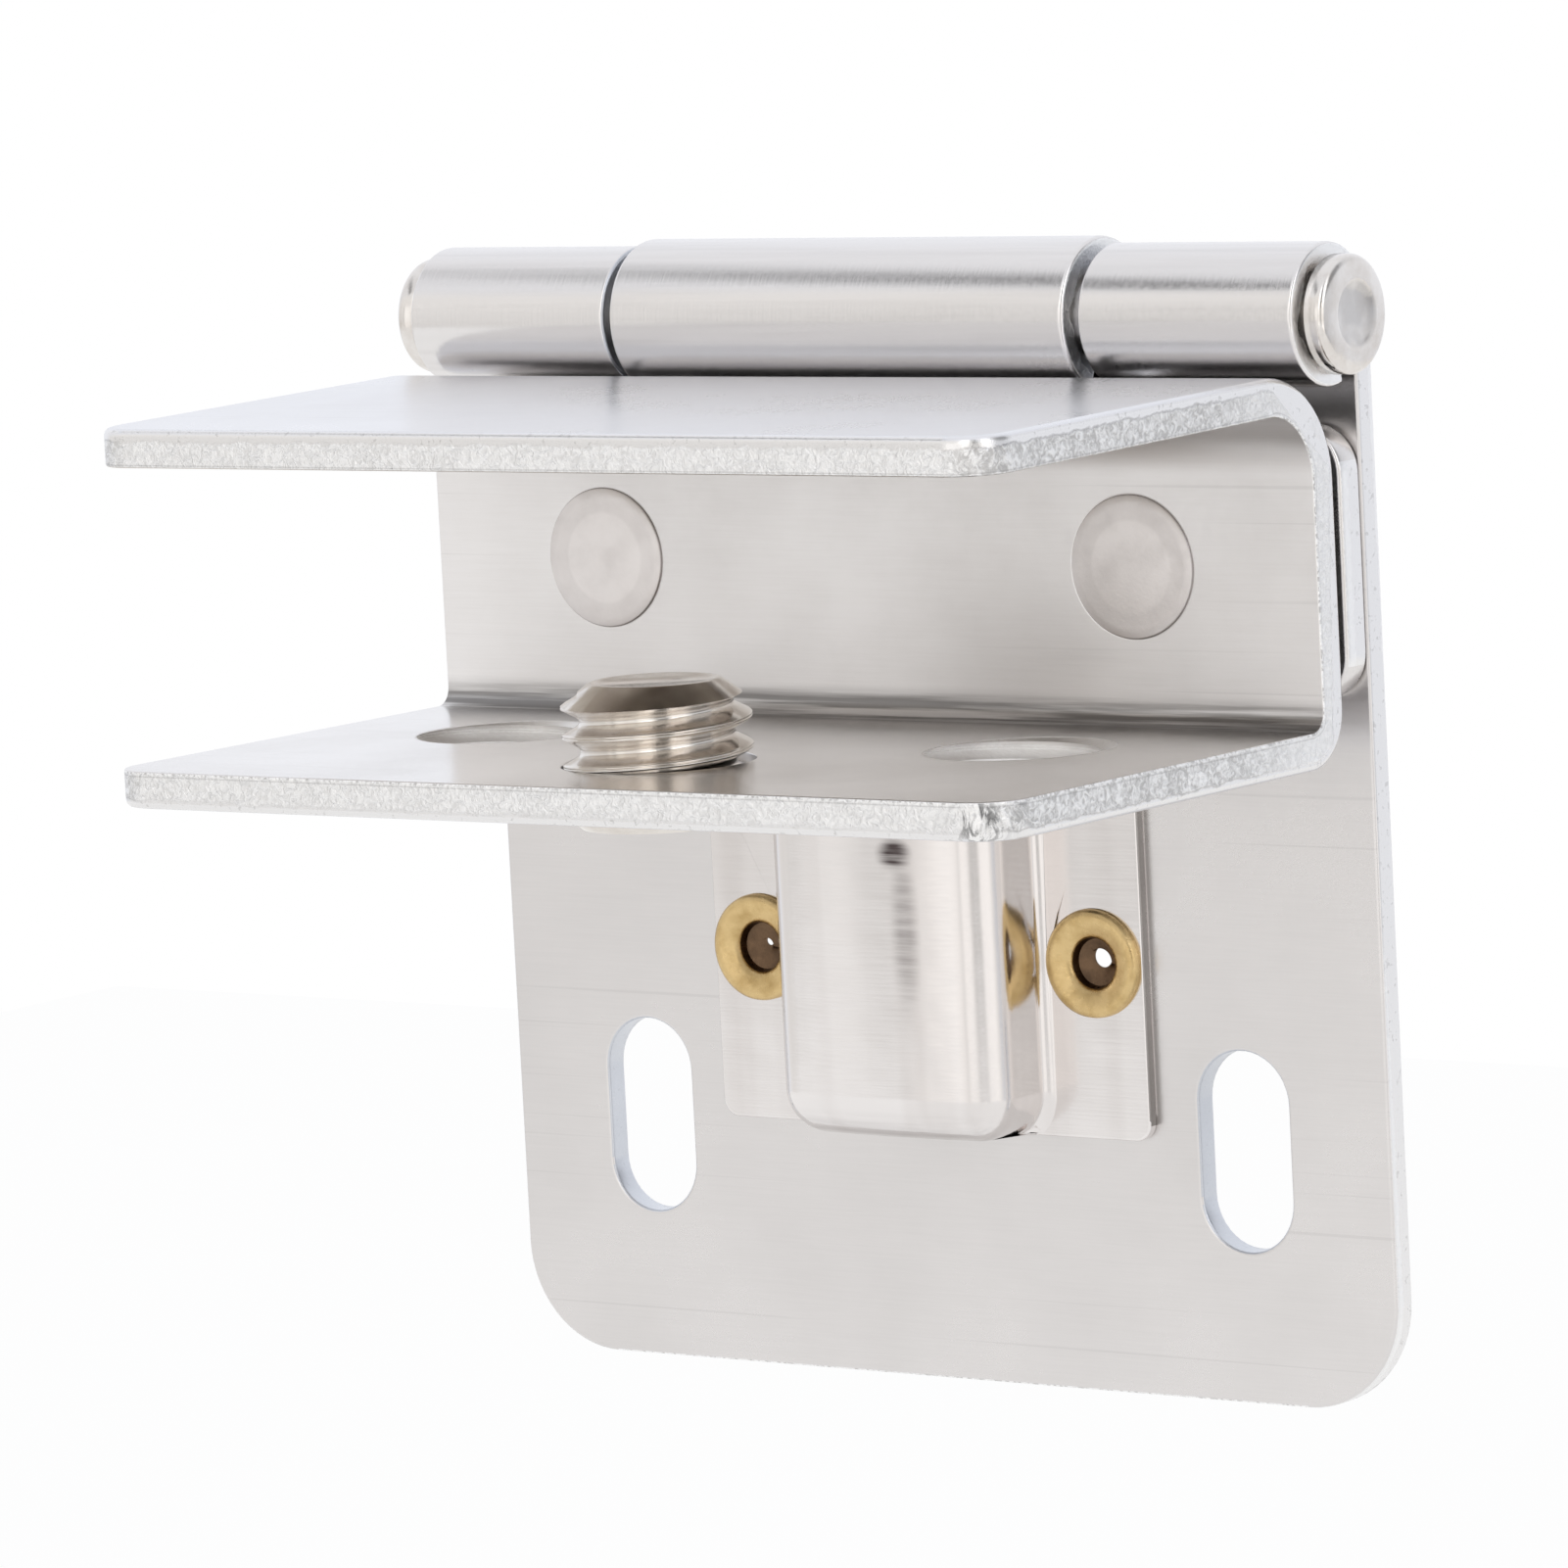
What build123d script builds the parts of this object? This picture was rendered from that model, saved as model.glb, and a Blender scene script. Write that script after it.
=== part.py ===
"""Clamp hinge for a glass door.

A slotted mounting plate and a riveted door leaf turn on one headed pin. The leaf carries a folded
channel that grips the edge of a glass pane with set screws. A pressed cover below the channel holds
a magnet against the plate and draws the closed channel in.

Frame: X along the pin, -Y out of the wall that carries the plate, +Z up.
Origin: on the plate's back face, midway between the two fixing slots. Millimetres.
"""

import os
from math import atan2, cos, degrees, radians, sqrt, tan

from build123d import *

# Sheet thicknesses
PLATE_SHEET = 1.2
LEAF_SHEET = 1.5
CHANNEL_SHEET = 1.6
COVER_SHEET = 0.5

# Hinge pin and knuckles
HINGE_LENGTH = 46.0
PIN_HEIGHT = 35.6
PIN_DIAMETER = 3.5
PIN_CLEARANCE = 0.05
PIN_HEAD_DIAMETER = 5.0
PIN_HEAD_THICKNESS = 1.1
PIN_HEAD_CHAMFER = 0.35
PIN_DIMPLE_DIAMETER = 3.0
PIN_DIMPLE_DEPTH = 0.15
PIN_END_PLAY = 0.2
CENTRE_KNUCKLE_LENGTH = 23.7
KNUCKLE_GAP = 0.55
PLATE_CURL_END = 286.0
LEAF_CURL_END = 248.0

# Mounting plate
PLATE_BELOW_SLOTS = 10.8
PLATE_CORNER_RADIUS = 4.7
WINDOW_BELOW_PIN = 5.2
WINDOW_CORNER_RADIUS = 1.0
SLOT_WIDTH = 4.5
SLOT_LENGTH = 8.6
SLOT_FROM_END = 7.3

# Door leaf
CLOSED_GAP = 0.1
PAD_HEIGHT = 11.5
PAD_CORNER_RADIUS = 2.0
NECK_BEND_RADIUS = 0.8
NECK_CORNER_RADIUS = 1.0

# Glass channel
CHANNEL_BELOW_PIN = 10.4
CHANNEL_STANDOFF = 0.4
CHANNEL_DEPTH = 25.0
GLASS_GAP = 13.3
UPPER_BEND_INNER_RADIUS = 2.9
LOWER_BEND_INNER_RADIUS = 0.8
FLANGE_CORNER_RADIUS = 2.0
UPPER_FLANGE_TOE_IN = 1.15

# Set screw and the three tapped holes
SCREW_DIAMETER = 8.0
SCREW_CLEARANCE = 0.05
SCREW_LENGTH = 6.0
SCREW_TIP_DIAMETER = 5.5
SCREW_END_CHAMFER = 0.6
SCREW_STANDING = 3.4
SCREW_KEY = 4.0
SCREW_SOCKET_DEPTH = 3.2
REAR_HOLE_FROM_END = 9.7
REAR_HOLE_FROM_WEB = 9.7
FRONT_HOLE_FROM_WEB = 16.7

# Channel rivets
RIVET_FROM_END = 9.2
RIVET_DIAMETER = 4.0
RIVET_HEAD_DIAMETER = 6.1
RIVET_HEAD_DEPTH = 0.9

# Catch cover, its eyelets and the magnet inside
COVER_BELOW_CHANNEL = 0.5
COVER_WIDTH = 22.6
COVER_HEIGHT = 16.2
COVER_CORNER_RADIUS = 0.8
DOME_WIDTH = 12.2
DOME_DEPTH = 4.6
DOME_CROWN = 0.4
DOME_DRAFT = 4.0
DOME_RADIUS = 2.0
DOME_FOOT_RADIUS = 0.6
FOOT_LAP = 0.01
EYELET_FROM_SIDE = 2.5
EYELET_BELOW_TOP = 8.6
EYELET_HEAD_DIAMETER = 4.7
EYELET_HEAD_RISE = 0.45
EYELET_CREST_WIDTH = 0.4
EYELET_TUBE_DIAMETER = 3.0
EYELET_BORE = 2.2
EYELET_CLINCH_DIAMETER = 4.2
EYELET_CLINCH_DEPTH = 0.5
POLE_SHEET = 0.8
POLE_RISE = 0.4
MAGNET_FIT = 0.05

# Places that follow from the sizes above
bore_radius = PIN_DIAMETER / 2 + PIN_CLEARANCE
plate_knuckle_radius = bore_radius + PLATE_SHEET
leaf_knuckle_radius = bore_radius + LEAF_SHEET
pin_centre = (-plate_knuckle_radius, PIN_HEIGHT)

plate_front_y = -PLATE_SHEET
leaf_back_y = plate_front_y - CLOSED_GAP
leaf_front_y = leaf_back_y - LEAF_SHEET
web_back_y = leaf_front_y - CHANNEL_STANDOFF
web_front_y = web_back_y - CHANNEL_SHEET
flange_tip_y = web_back_y - CHANNEL_DEPTH

channel_z = PIN_HEIGHT - CHANNEL_BELOW_PIN
channel_top_z = channel_z + GLASS_GAP / 2 + CHANNEL_SHEET
lower_flange_top_z = channel_z - GLASS_GAP / 2
channel_bottom_z = lower_flange_top_z - CHANNEL_SHEET

cover_top_z = channel_bottom_z - COVER_BELOW_CHANNEL
cover_bottom_z = cover_top_z - COVER_HEIGHT
cover_front_y = plate_front_y - COVER_SHEET
half_length = HINGE_LENGTH / 2
slot_x = half_length - SLOT_FROM_END
rivet_x = half_length - RIVET_FROM_END
rear_hole_x = half_length - REAR_HOLE_FROM_END
eyelet_x = COVER_WIDTH / 2 - EYELET_FROM_SIDE
eyelet_z = cover_top_z - EYELET_BELOW_TOP


def along_x(section, length):
    """Extrude a section drawn in Y and Z, centred on X."""
    return extrude(Plane.YZ * section, length / 2, both=True)


def forward(outline, back_y, thickness):
    """Extrude an outline drawn in X and Z from back_y towards the front."""
    return extrude(Plane.XZ.offset(-back_y) * outline, thickness)


def spin_y(profile, x, z):
    """Revolve a profile drawn as radius and forward distance about a line along Y."""
    turned = revolve(Plane.XY * profile, Axis.Y)
    return Pos(x, 0, z) * Rot(0, 0, 180) * turned


def rectangle(x0, x1, z0, z1):
    """A rectangle given by its low and high sides."""
    return Pos((x0 + x1) / 2, (z0 + z1) / 2) * Rectangle(x1 - x0, z1 - z0)


def corners_near(sketch, *places):
    """The sketch's corners that lie at the given places."""
    return [sketch.vertices().sort_by_distance((u, v, 0))[0] for u, v in places]


def plate_section():
    """The plate's edge view: a flat sheet that curls over the pin."""
    outer = CenterArc(pin_centre, plate_knuckle_radius, 0, PLATE_CURL_END)
    inner = CenterArc(pin_centre, bore_radius, 0, PLATE_CURL_END)
    curl = make_face([outer, Line(outer @ 1, inner @ 1), inner, Line(inner @ 0, outer @ 0)])
    return curl + rectangle(plate_front_y, 0, -PLATE_BELOW_SLOTS, PIN_HEIGHT)


def mounting_plate():
    """The plate with its two outer knuckles, fixing slots and eyelet holes."""
    top = PIN_HEIGHT + plate_knuckle_radius
    bottom = -PLATE_BELOW_SLOTS
    outline = rectangle(-half_length, half_length, bottom, top)
    low = corners_near(outline, (-half_length, bottom), (half_length, bottom))
    outline = fillet(low, PLATE_CORNER_RADIUS)
    window_half = CENTRE_KNUCKLE_LENGTH / 2 + KNUCKLE_GAP
    window_z = PIN_HEIGHT - WINDOW_BELOW_PIN
    window = rectangle(-window_half, window_half, window_z, top + 1)
    low = corners_near(window, (-window_half, window_z), (window_half, window_z))
    outline -= fillet(low, WINDOW_CORNER_RADIUS)
    for side in (-1, 1):
        slot = SlotOverall(SLOT_LENGTH, SLOT_WIDTH, rotation=90)
        outline -= Pos(side * slot_x, 0) * slot
    depth = 2 * plate_knuckle_radius
    plate = along_x(plate_section(), HINGE_LENGTH) & forward(outline, 0, depth)
    for side in (-1, 1):
        plate -= eyelet(side, bored=False)
    return plate


def leaf_section():
    """The leaf's edge view: a flat sheet, a set-back bend and a curl over the pin."""
    bend_y = leaf_back_y + NECK_BEND_RADIUS
    reach = bore_radius + LEAF_SHEET + NECK_BEND_RADIUS
    drop = sqrt(reach**2 - (bend_y - pin_centre[0]) ** 2)
    bend_centre = (bend_y, PIN_HEIGHT - drop)
    meet = degrees(atan2(drop, pin_centre[0] - bend_y))
    curl = LEAF_CURL_END - (meet - 180)
    low_z = channel_z - PAD_HEIGHT / 2
    front_bend = CenterArc(bend_centre, NECK_BEND_RADIUS + LEAF_SHEET, 180, meet - 180)
    back_bend = CenterArc(bend_centre, NECK_BEND_RADIUS, 180, meet - 180)
    inner = CenterArc(pin_centre, bore_radius, meet - 180, curl)
    outer = CenterArc(pin_centre, leaf_knuckle_radius, meet - 180, curl)
    front = Line((leaf_front_y, low_z), front_bend @ 0)
    back = Line((leaf_back_y, low_z), back_bend @ 0)
    tip = Line(inner @ 1, outer @ 1)
    foot = Line(front @ 0, back @ 0)
    return make_face([front, front_bend, inner, tip, outer, back_bend, back, foot])


def door_leaf():
    """The leaf: a wide pad behind the channel, a neck and the centre knuckle."""
    neck_half = CENTRE_KNUCKLE_LENGTH / 2
    pad_top = channel_z + PAD_HEIGHT / 2
    top = PIN_HEIGHT + leaf_knuckle_radius
    pad = Pos(0, channel_z) * RectangleRounded(HINGE_LENGTH, PAD_HEIGHT, PAD_CORNER_RADIUS)
    outline = pad + rectangle(-neck_half, neck_half, channel_z, top)
    inside = corners_near(outline, (-neck_half, pad_top), (neck_half, pad_top))
    outline = fillet(inside, NECK_CORNER_RADIUS)
    depth = 2 * leaf_knuckle_radius
    back_y = pin_centre[0] + leaf_knuckle_radius
    leaf = along_x(leaf_section(), HINGE_LENGTH) & forward(outline, back_y, depth)
    for side in (-1, 1):
        leaf -= channel_rivet(side)
    return leaf


def hinge_pin():
    """The pin: a shank with a chamfered, dimpled head at each end."""
    shank, head = PIN_DIAMETER / 2, PIN_HEAD_DIAMETER / 2
    head_inner = half_length + PIN_END_PLAY
    head_outer = head_inner + PIN_HEAD_THICKNESS
    profile = make_face(
        Polyline(
            (0, 0),
            (shank, 0),
            (shank, head_inner),
            (head, head_inner),
            (head, head_outer),
            (PIN_DIMPLE_DIAMETER / 2, head_outer),
            (0, head_outer - PIN_DIMPLE_DEPTH),
            close=True,
        )
    )
    profile = chamfer(corners_near(profile, (head, head_outer)), PIN_HEAD_CHAMFER)
    half_pin = Rot(0, 0, -90) * revolve(Plane.XY * profile, Axis.Y)
    return Pos(0, *pin_centre) * (half_pin + mirror(half_pin, Plane.YZ))


def channel_section():
    """The channel's edge view: an open U with a large upper and a small lower bend."""
    lean = radians(UPPER_FLANGE_TOE_IN)
    under = CHANNEL_SHEET / cos(lean)
    upper_tip_z = channel_top_z - CHANNEL_DEPTH * tan(lean)
    upper_inside = (web_front_y, channel_top_z - CHANNEL_SHEET * tan(lean) - under)
    lower_inside = (web_front_y, lower_flange_top_z)
    upper_outside = (web_back_y, channel_top_z)
    lower_outside = (web_back_y, channel_bottom_z)
    section = make_face(
        Polyline(
            (flange_tip_y, upper_tip_z),
            upper_outside,
            lower_outside,
            (flange_tip_y, channel_bottom_z),
            (flange_tip_y, lower_flange_top_z),
            lower_inside,
            upper_inside,
            (flange_tip_y, upper_tip_z - under),
            close=True,
        )
    )
    for corner, radius in (
        (upper_inside, UPPER_BEND_INNER_RADIUS),
        (upper_outside, UPPER_BEND_INNER_RADIUS + CHANNEL_SHEET),
        (lower_inside, LOWER_BEND_INNER_RADIUS),
        (lower_outside, LOWER_BEND_INNER_RADIUS + CHANNEL_SHEET),
    ):
        section = fillet(corners_near(section, corner), radius)
    return section


def glass_channel():
    """The folded channel with its tapped holes and rivet holes."""
    channel = along_x(channel_section(), HINGE_LENGTH)
    tips = channel.edges().filter_by(Axis.Z).group_by(Axis.Y)[0]
    channel = fillet(tips, FLANGE_CORNER_RADIUS)
    hole = Cylinder(SCREW_DIAMETER / 2 + SCREW_CLEARANCE, 4 * CHANNEL_SHEET)
    for x, from_web in (
        (-rear_hole_x, REAR_HOLE_FROM_WEB),
        (rear_hole_x, REAR_HOLE_FROM_WEB),
        (0, FRONT_HOLE_FROM_WEB),
    ):
        channel -= Pos(x, web_back_y - from_web, lower_flange_top_z) * hole
    for side in (-1, 1):
        channel -= channel_rivet(side)
    return channel


def channel_rivet(side):
    """A flush rivet through the channel's web and the leaf."""
    shank, head = RIVET_DIAMETER / 2, RIVET_HEAD_DIAMETER / 2
    back, front = -leaf_back_y, -web_front_y
    profile = make_face(
        Polyline(
            (0, back),
            (head, back),
            (shank, back + RIVET_HEAD_DEPTH),
            (shank, front - RIVET_HEAD_DEPTH),
            (head, front),
            (0, front),
            close=True,
        )
    )
    return spin_y(profile, side * rivet_x, channel_z)


def clamp_screw():
    """The set screw: flat point up, hexagon socket below."""
    radius = SCREW_DIAMETER / 2
    point = radius - SCREW_TIP_DIAMETER / 2
    profile = make_face(
        Polyline(
            (0, 0),
            (radius - SCREW_END_CHAMFER, 0),
            (radius, SCREW_END_CHAMFER),
            (radius, SCREW_LENGTH - point),
            (radius - point, SCREW_LENGTH),
            (0, SCREW_LENGTH),
            close=True,
        )
    )
    screw = revolve(Plane.XZ * profile, Axis.Z)
    key = RegularPolygon(SCREW_KEY / 2, 6, major_radius=False)
    screw -= extrude(key, SCREW_SOCKET_DEPTH)
    low_z = lower_flange_top_z + SCREW_STANDING - SCREW_LENGTH
    return Pos(0, web_back_y - FRONT_HOLE_FROM_WEB, low_z) * screw


def dome(inset):
    """The cover's drafted box with its crowned front, or with an inset the room inside it."""
    crest_y = plate_front_y - DOME_DEPTH + inset
    shoulder_y = crest_y + DOME_CROWN
    back_half = DOME_WIDTH / 2 - inset
    front_half = back_half - (plate_front_y - shoulder_y) * tan(radians(DOME_DRAFT))
    bottom = cover_bottom_z + inset
    outline = [
        Polyline(
            (front_half, shoulder_y),
            (back_half, plate_front_y),
            (-back_half, plate_front_y),
            (-front_half, shoulder_y),
        ),
        ThreePointArc((-front_half, shoulder_y), (0, crest_y), (front_half, shoulder_y)),
    ]
    block = extrude(Plane.XY.offset(bottom) * make_face(outline), cover_top_z - bottom)
    back = block.faces().sort_by(Axis.Y)[-1]
    top = block.faces().sort_by(Axis.Z)[-1]
    return fillet(block.edges() - back.edges() - top.edges(), DOME_RADIUS - inset)


def dome_foot(side):
    """The bend between the dome and one flange, round the dome's lower corner and up its side."""
    wall_x = DOME_WIDTH / 2 - (COVER_SHEET + DOME_FOOT_RADIUS) * tan(radians(DOME_DRAFT)) - FOOT_LAP
    centre = (wall_x + DOME_FOOT_RADIUS, cover_front_y - DOME_FOOT_RADIUS)
    section = rectangle(wall_x - DOME_FOOT_RADIUS, centre[0], centre[1], plate_front_y)
    section -= Pos(*centre) * Circle(DOME_FOOT_RADIUS)
    corner = Location((DOME_WIDTH / 2 - DOME_RADIUS, 0, cover_bottom_z + DOME_RADIUS))
    upright = extrude(Plane.XY.offset(corner.position.Z) * section, cover_top_z - corner.position.Z)
    turn = Axis(corner.position, (0, 1, 0))
    foot = upright + revolve(Plane.XY.offset(corner.position.Z) * section, turn, 90)
    low = forward(rectangle(0, COVER_WIDTH / 2, cover_bottom_z, cover_top_z), plate_front_y, DOME_DEPTH)
    foot &= low
    return foot if side > 0 else mirror(foot, Plane.YZ)


def catch_cover():
    """The pressed cover: a drafted dome, open at the top, between two flat flanges."""
    half = COVER_WIDTH / 2
    outline = rectangle(-half, half, cover_bottom_z, cover_top_z)
    outline = fillet(outline.vertices(), COVER_CORNER_RADIUS)
    cover = forward(outline, plate_front_y, COVER_SHEET) + dome(0)
    cover += dome_foot(1) + dome_foot(-1)
    cover -= dome(COVER_SHEET)
    for side in (-1, 1):
        cover -= eyelet(side, bored=False)
    return cover


def eyelet(side, bored=True):
    """A brass eyelet that clinches the cover to the plate, or without its bore."""
    seat = PLATE_SHEET + COVER_SHEET
    crest = seat + EYELET_HEAD_RISE
    head, tube = EYELET_HEAD_DIAMETER / 2, EYELET_TUBE_DIAMETER / 2
    bore, clinch = EYELET_BORE / 2, EYELET_CLINCH_DIAMETER / 2
    crest_radius = (head + bore) / 2
    inside = [(bore, seat), (bore, 0)] if bored else [(0, crest), (0, 0)]
    profile = make_face(
        Polyline(
            (clinch, 0),
            (tube, EYELET_CLINCH_DEPTH),
            (tube, seat),
            (head, seat),
            (crest_radius + EYELET_CREST_WIDTH / 2, crest),
            (crest_radius - EYELET_CREST_WIDTH / 2, crest),
            *inside,
            close=True,
        )
    )
    return spin_y(profile, side * eyelet_x, eyelet_z)


def catch_stack():
    """The magnet between its two steel pole plates, inside the cover's dome."""
    depth = DOME_DEPTH - DOME_CROWN - COVER_SHEET - MAGNET_FIT
    narrowing = DOME_DEPTH * tan(radians(DOME_DRAFT))
    half = DOME_WIDTH / 2 - DOME_RADIUS - narrowing
    low = cover_bottom_z + DOME_RADIUS + narrowing
    magnet_front_y = plate_front_y - depth + POLE_SHEET
    pole = rectangle(-half, half, low, cover_top_z)
    rear = forward(pole, plate_front_y, POLE_SHEET)
    front = forward(pole, magnet_front_y, POLE_SHEET)
    block = rectangle(-half, half, low, cover_top_z - POLE_RISE)
    magnet = forward(block, plate_front_y - POLE_SHEET, depth - 2 * POLE_SHEET)
    return magnet, front, rear


magnet, pole_front, pole_rear = catch_stack()
parts = {
    "mounting_plate": mounting_plate(),
    "door_leaf": door_leaf(),
    "hinge_pin": hinge_pin(),
    "glass_channel": glass_channel(),
    "channel_rivet_left": channel_rivet(-1),
    "channel_rivet_right": channel_rivet(1),
    "clamp_screw": clamp_screw(),
    "catch_cover": catch_cover(),
    "cover_eyelet_left": eyelet(-1),
    "cover_eyelet_right": eyelet(1),
    "catch_magnet": magnet,
    "pole_plate_front": pole_front,
    "pole_plate_rear": pole_rear,
}

os.makedirs("parts", exist_ok=True)
for name, solid in parts.items():
    export_step(solid, f"parts/{name}.step")
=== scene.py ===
"""Dressed model of a clamp hinge for a glass door.

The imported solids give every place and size. Each sub-assembly is a class that models its visible
pieces over those solids and gives them their finish. Lengths are metres, and millimetres where a name
ends in _mm, in the frame of the solids: X along the hinge pin, -Y towards the glass, +Z from the
fixing slots up to the pin.
"""

import logging
import math
from collections.abc import Callable, Sequence
from dataclasses import dataclass
from enum import Enum

import bpy
from mathutils import Matrix, Vector

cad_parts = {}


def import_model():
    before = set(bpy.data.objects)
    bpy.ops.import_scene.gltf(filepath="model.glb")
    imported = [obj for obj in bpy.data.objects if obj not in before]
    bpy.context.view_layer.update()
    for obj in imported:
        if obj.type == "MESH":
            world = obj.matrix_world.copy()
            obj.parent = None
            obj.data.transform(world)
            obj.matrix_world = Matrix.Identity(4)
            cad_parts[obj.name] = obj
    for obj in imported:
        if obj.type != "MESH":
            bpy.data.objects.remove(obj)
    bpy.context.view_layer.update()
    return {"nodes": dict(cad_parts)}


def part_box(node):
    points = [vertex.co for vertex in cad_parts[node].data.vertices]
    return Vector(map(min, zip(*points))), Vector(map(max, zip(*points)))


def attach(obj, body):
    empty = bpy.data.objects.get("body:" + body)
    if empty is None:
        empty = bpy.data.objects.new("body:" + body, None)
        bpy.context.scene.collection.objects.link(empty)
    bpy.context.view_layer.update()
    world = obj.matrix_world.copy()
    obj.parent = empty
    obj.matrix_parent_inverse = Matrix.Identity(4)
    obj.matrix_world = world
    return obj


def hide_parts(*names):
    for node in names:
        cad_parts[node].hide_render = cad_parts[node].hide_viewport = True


LOG = logging.getLogger("glass_door_hinge")
MM = 0.001
# How metallic a finish is.
METAL, PLAIN = 1.0, 0.0
# The span that most of a noise's values lie in.
NOISE_SPAN = (0.3, 0.7)
# The least share of its normal along an axis for a face that looks that way.
FACING = 0.98
# The colour sockets of a Mix node.
MIX_COLOURS, MIX_RESULT = (6, 7), 2

Colour = tuple[float, float, float]
Point = tuple[float, float]
Span = tuple[float, float]
Place = tuple[float, float, float]
Socket = bpy.types.NodeSocket
Material = bpy.types.Material
Piece = bpy.types.Object
FaceTest = Callable[[Vector, Vector], bool]


class Grain(Enum):
    """The way a finish's fine lines run, as how closely they crowd along X, Y and Z."""

    ALONG_PIN = (0.03, 1.0, 1.0)
    SCRATCHED = (0.004, 1.0, 1.0)
    UPRIGHT = (1.0, 1.0, 0.03)
    HACKED = (1.0, 1.0, 0.4)
    ROUND_PIN = (1.0, 0.04, 0.04)
    EVEN = (1.0, 1.0, 1.0)


class Body(Enum):
    """The rigid bodies of the hinge."""

    PLATE = "plate"
    DOOR = "door"
    SCREW = "screw"


class Coordinates(Enum):
    """What a texture is laid by."""

    OBJECT = "Object"
    STRIP = "UV"
    SKY = "Generated"


class Sum(Enum):
    """The sums that finishes are worked out with."""

    ADD = "ADD"
    SUBTRACT = "SUBTRACT"
    MULTIPLY = "MULTIPLY"
    LARGER = "MAXIMUM"
    SIZE = "ABSOLUTE"
    ANGLE = "ARCTAN2"


class Cut(Enum):
    """How one piece shapes another."""

    SINK = "DIFFERENCE"
    TRIM = "INTERSECT"


# ---------------------------------------------------------------------------------------------
# Finishes
# ---------------------------------------------------------------------------------------------


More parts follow.
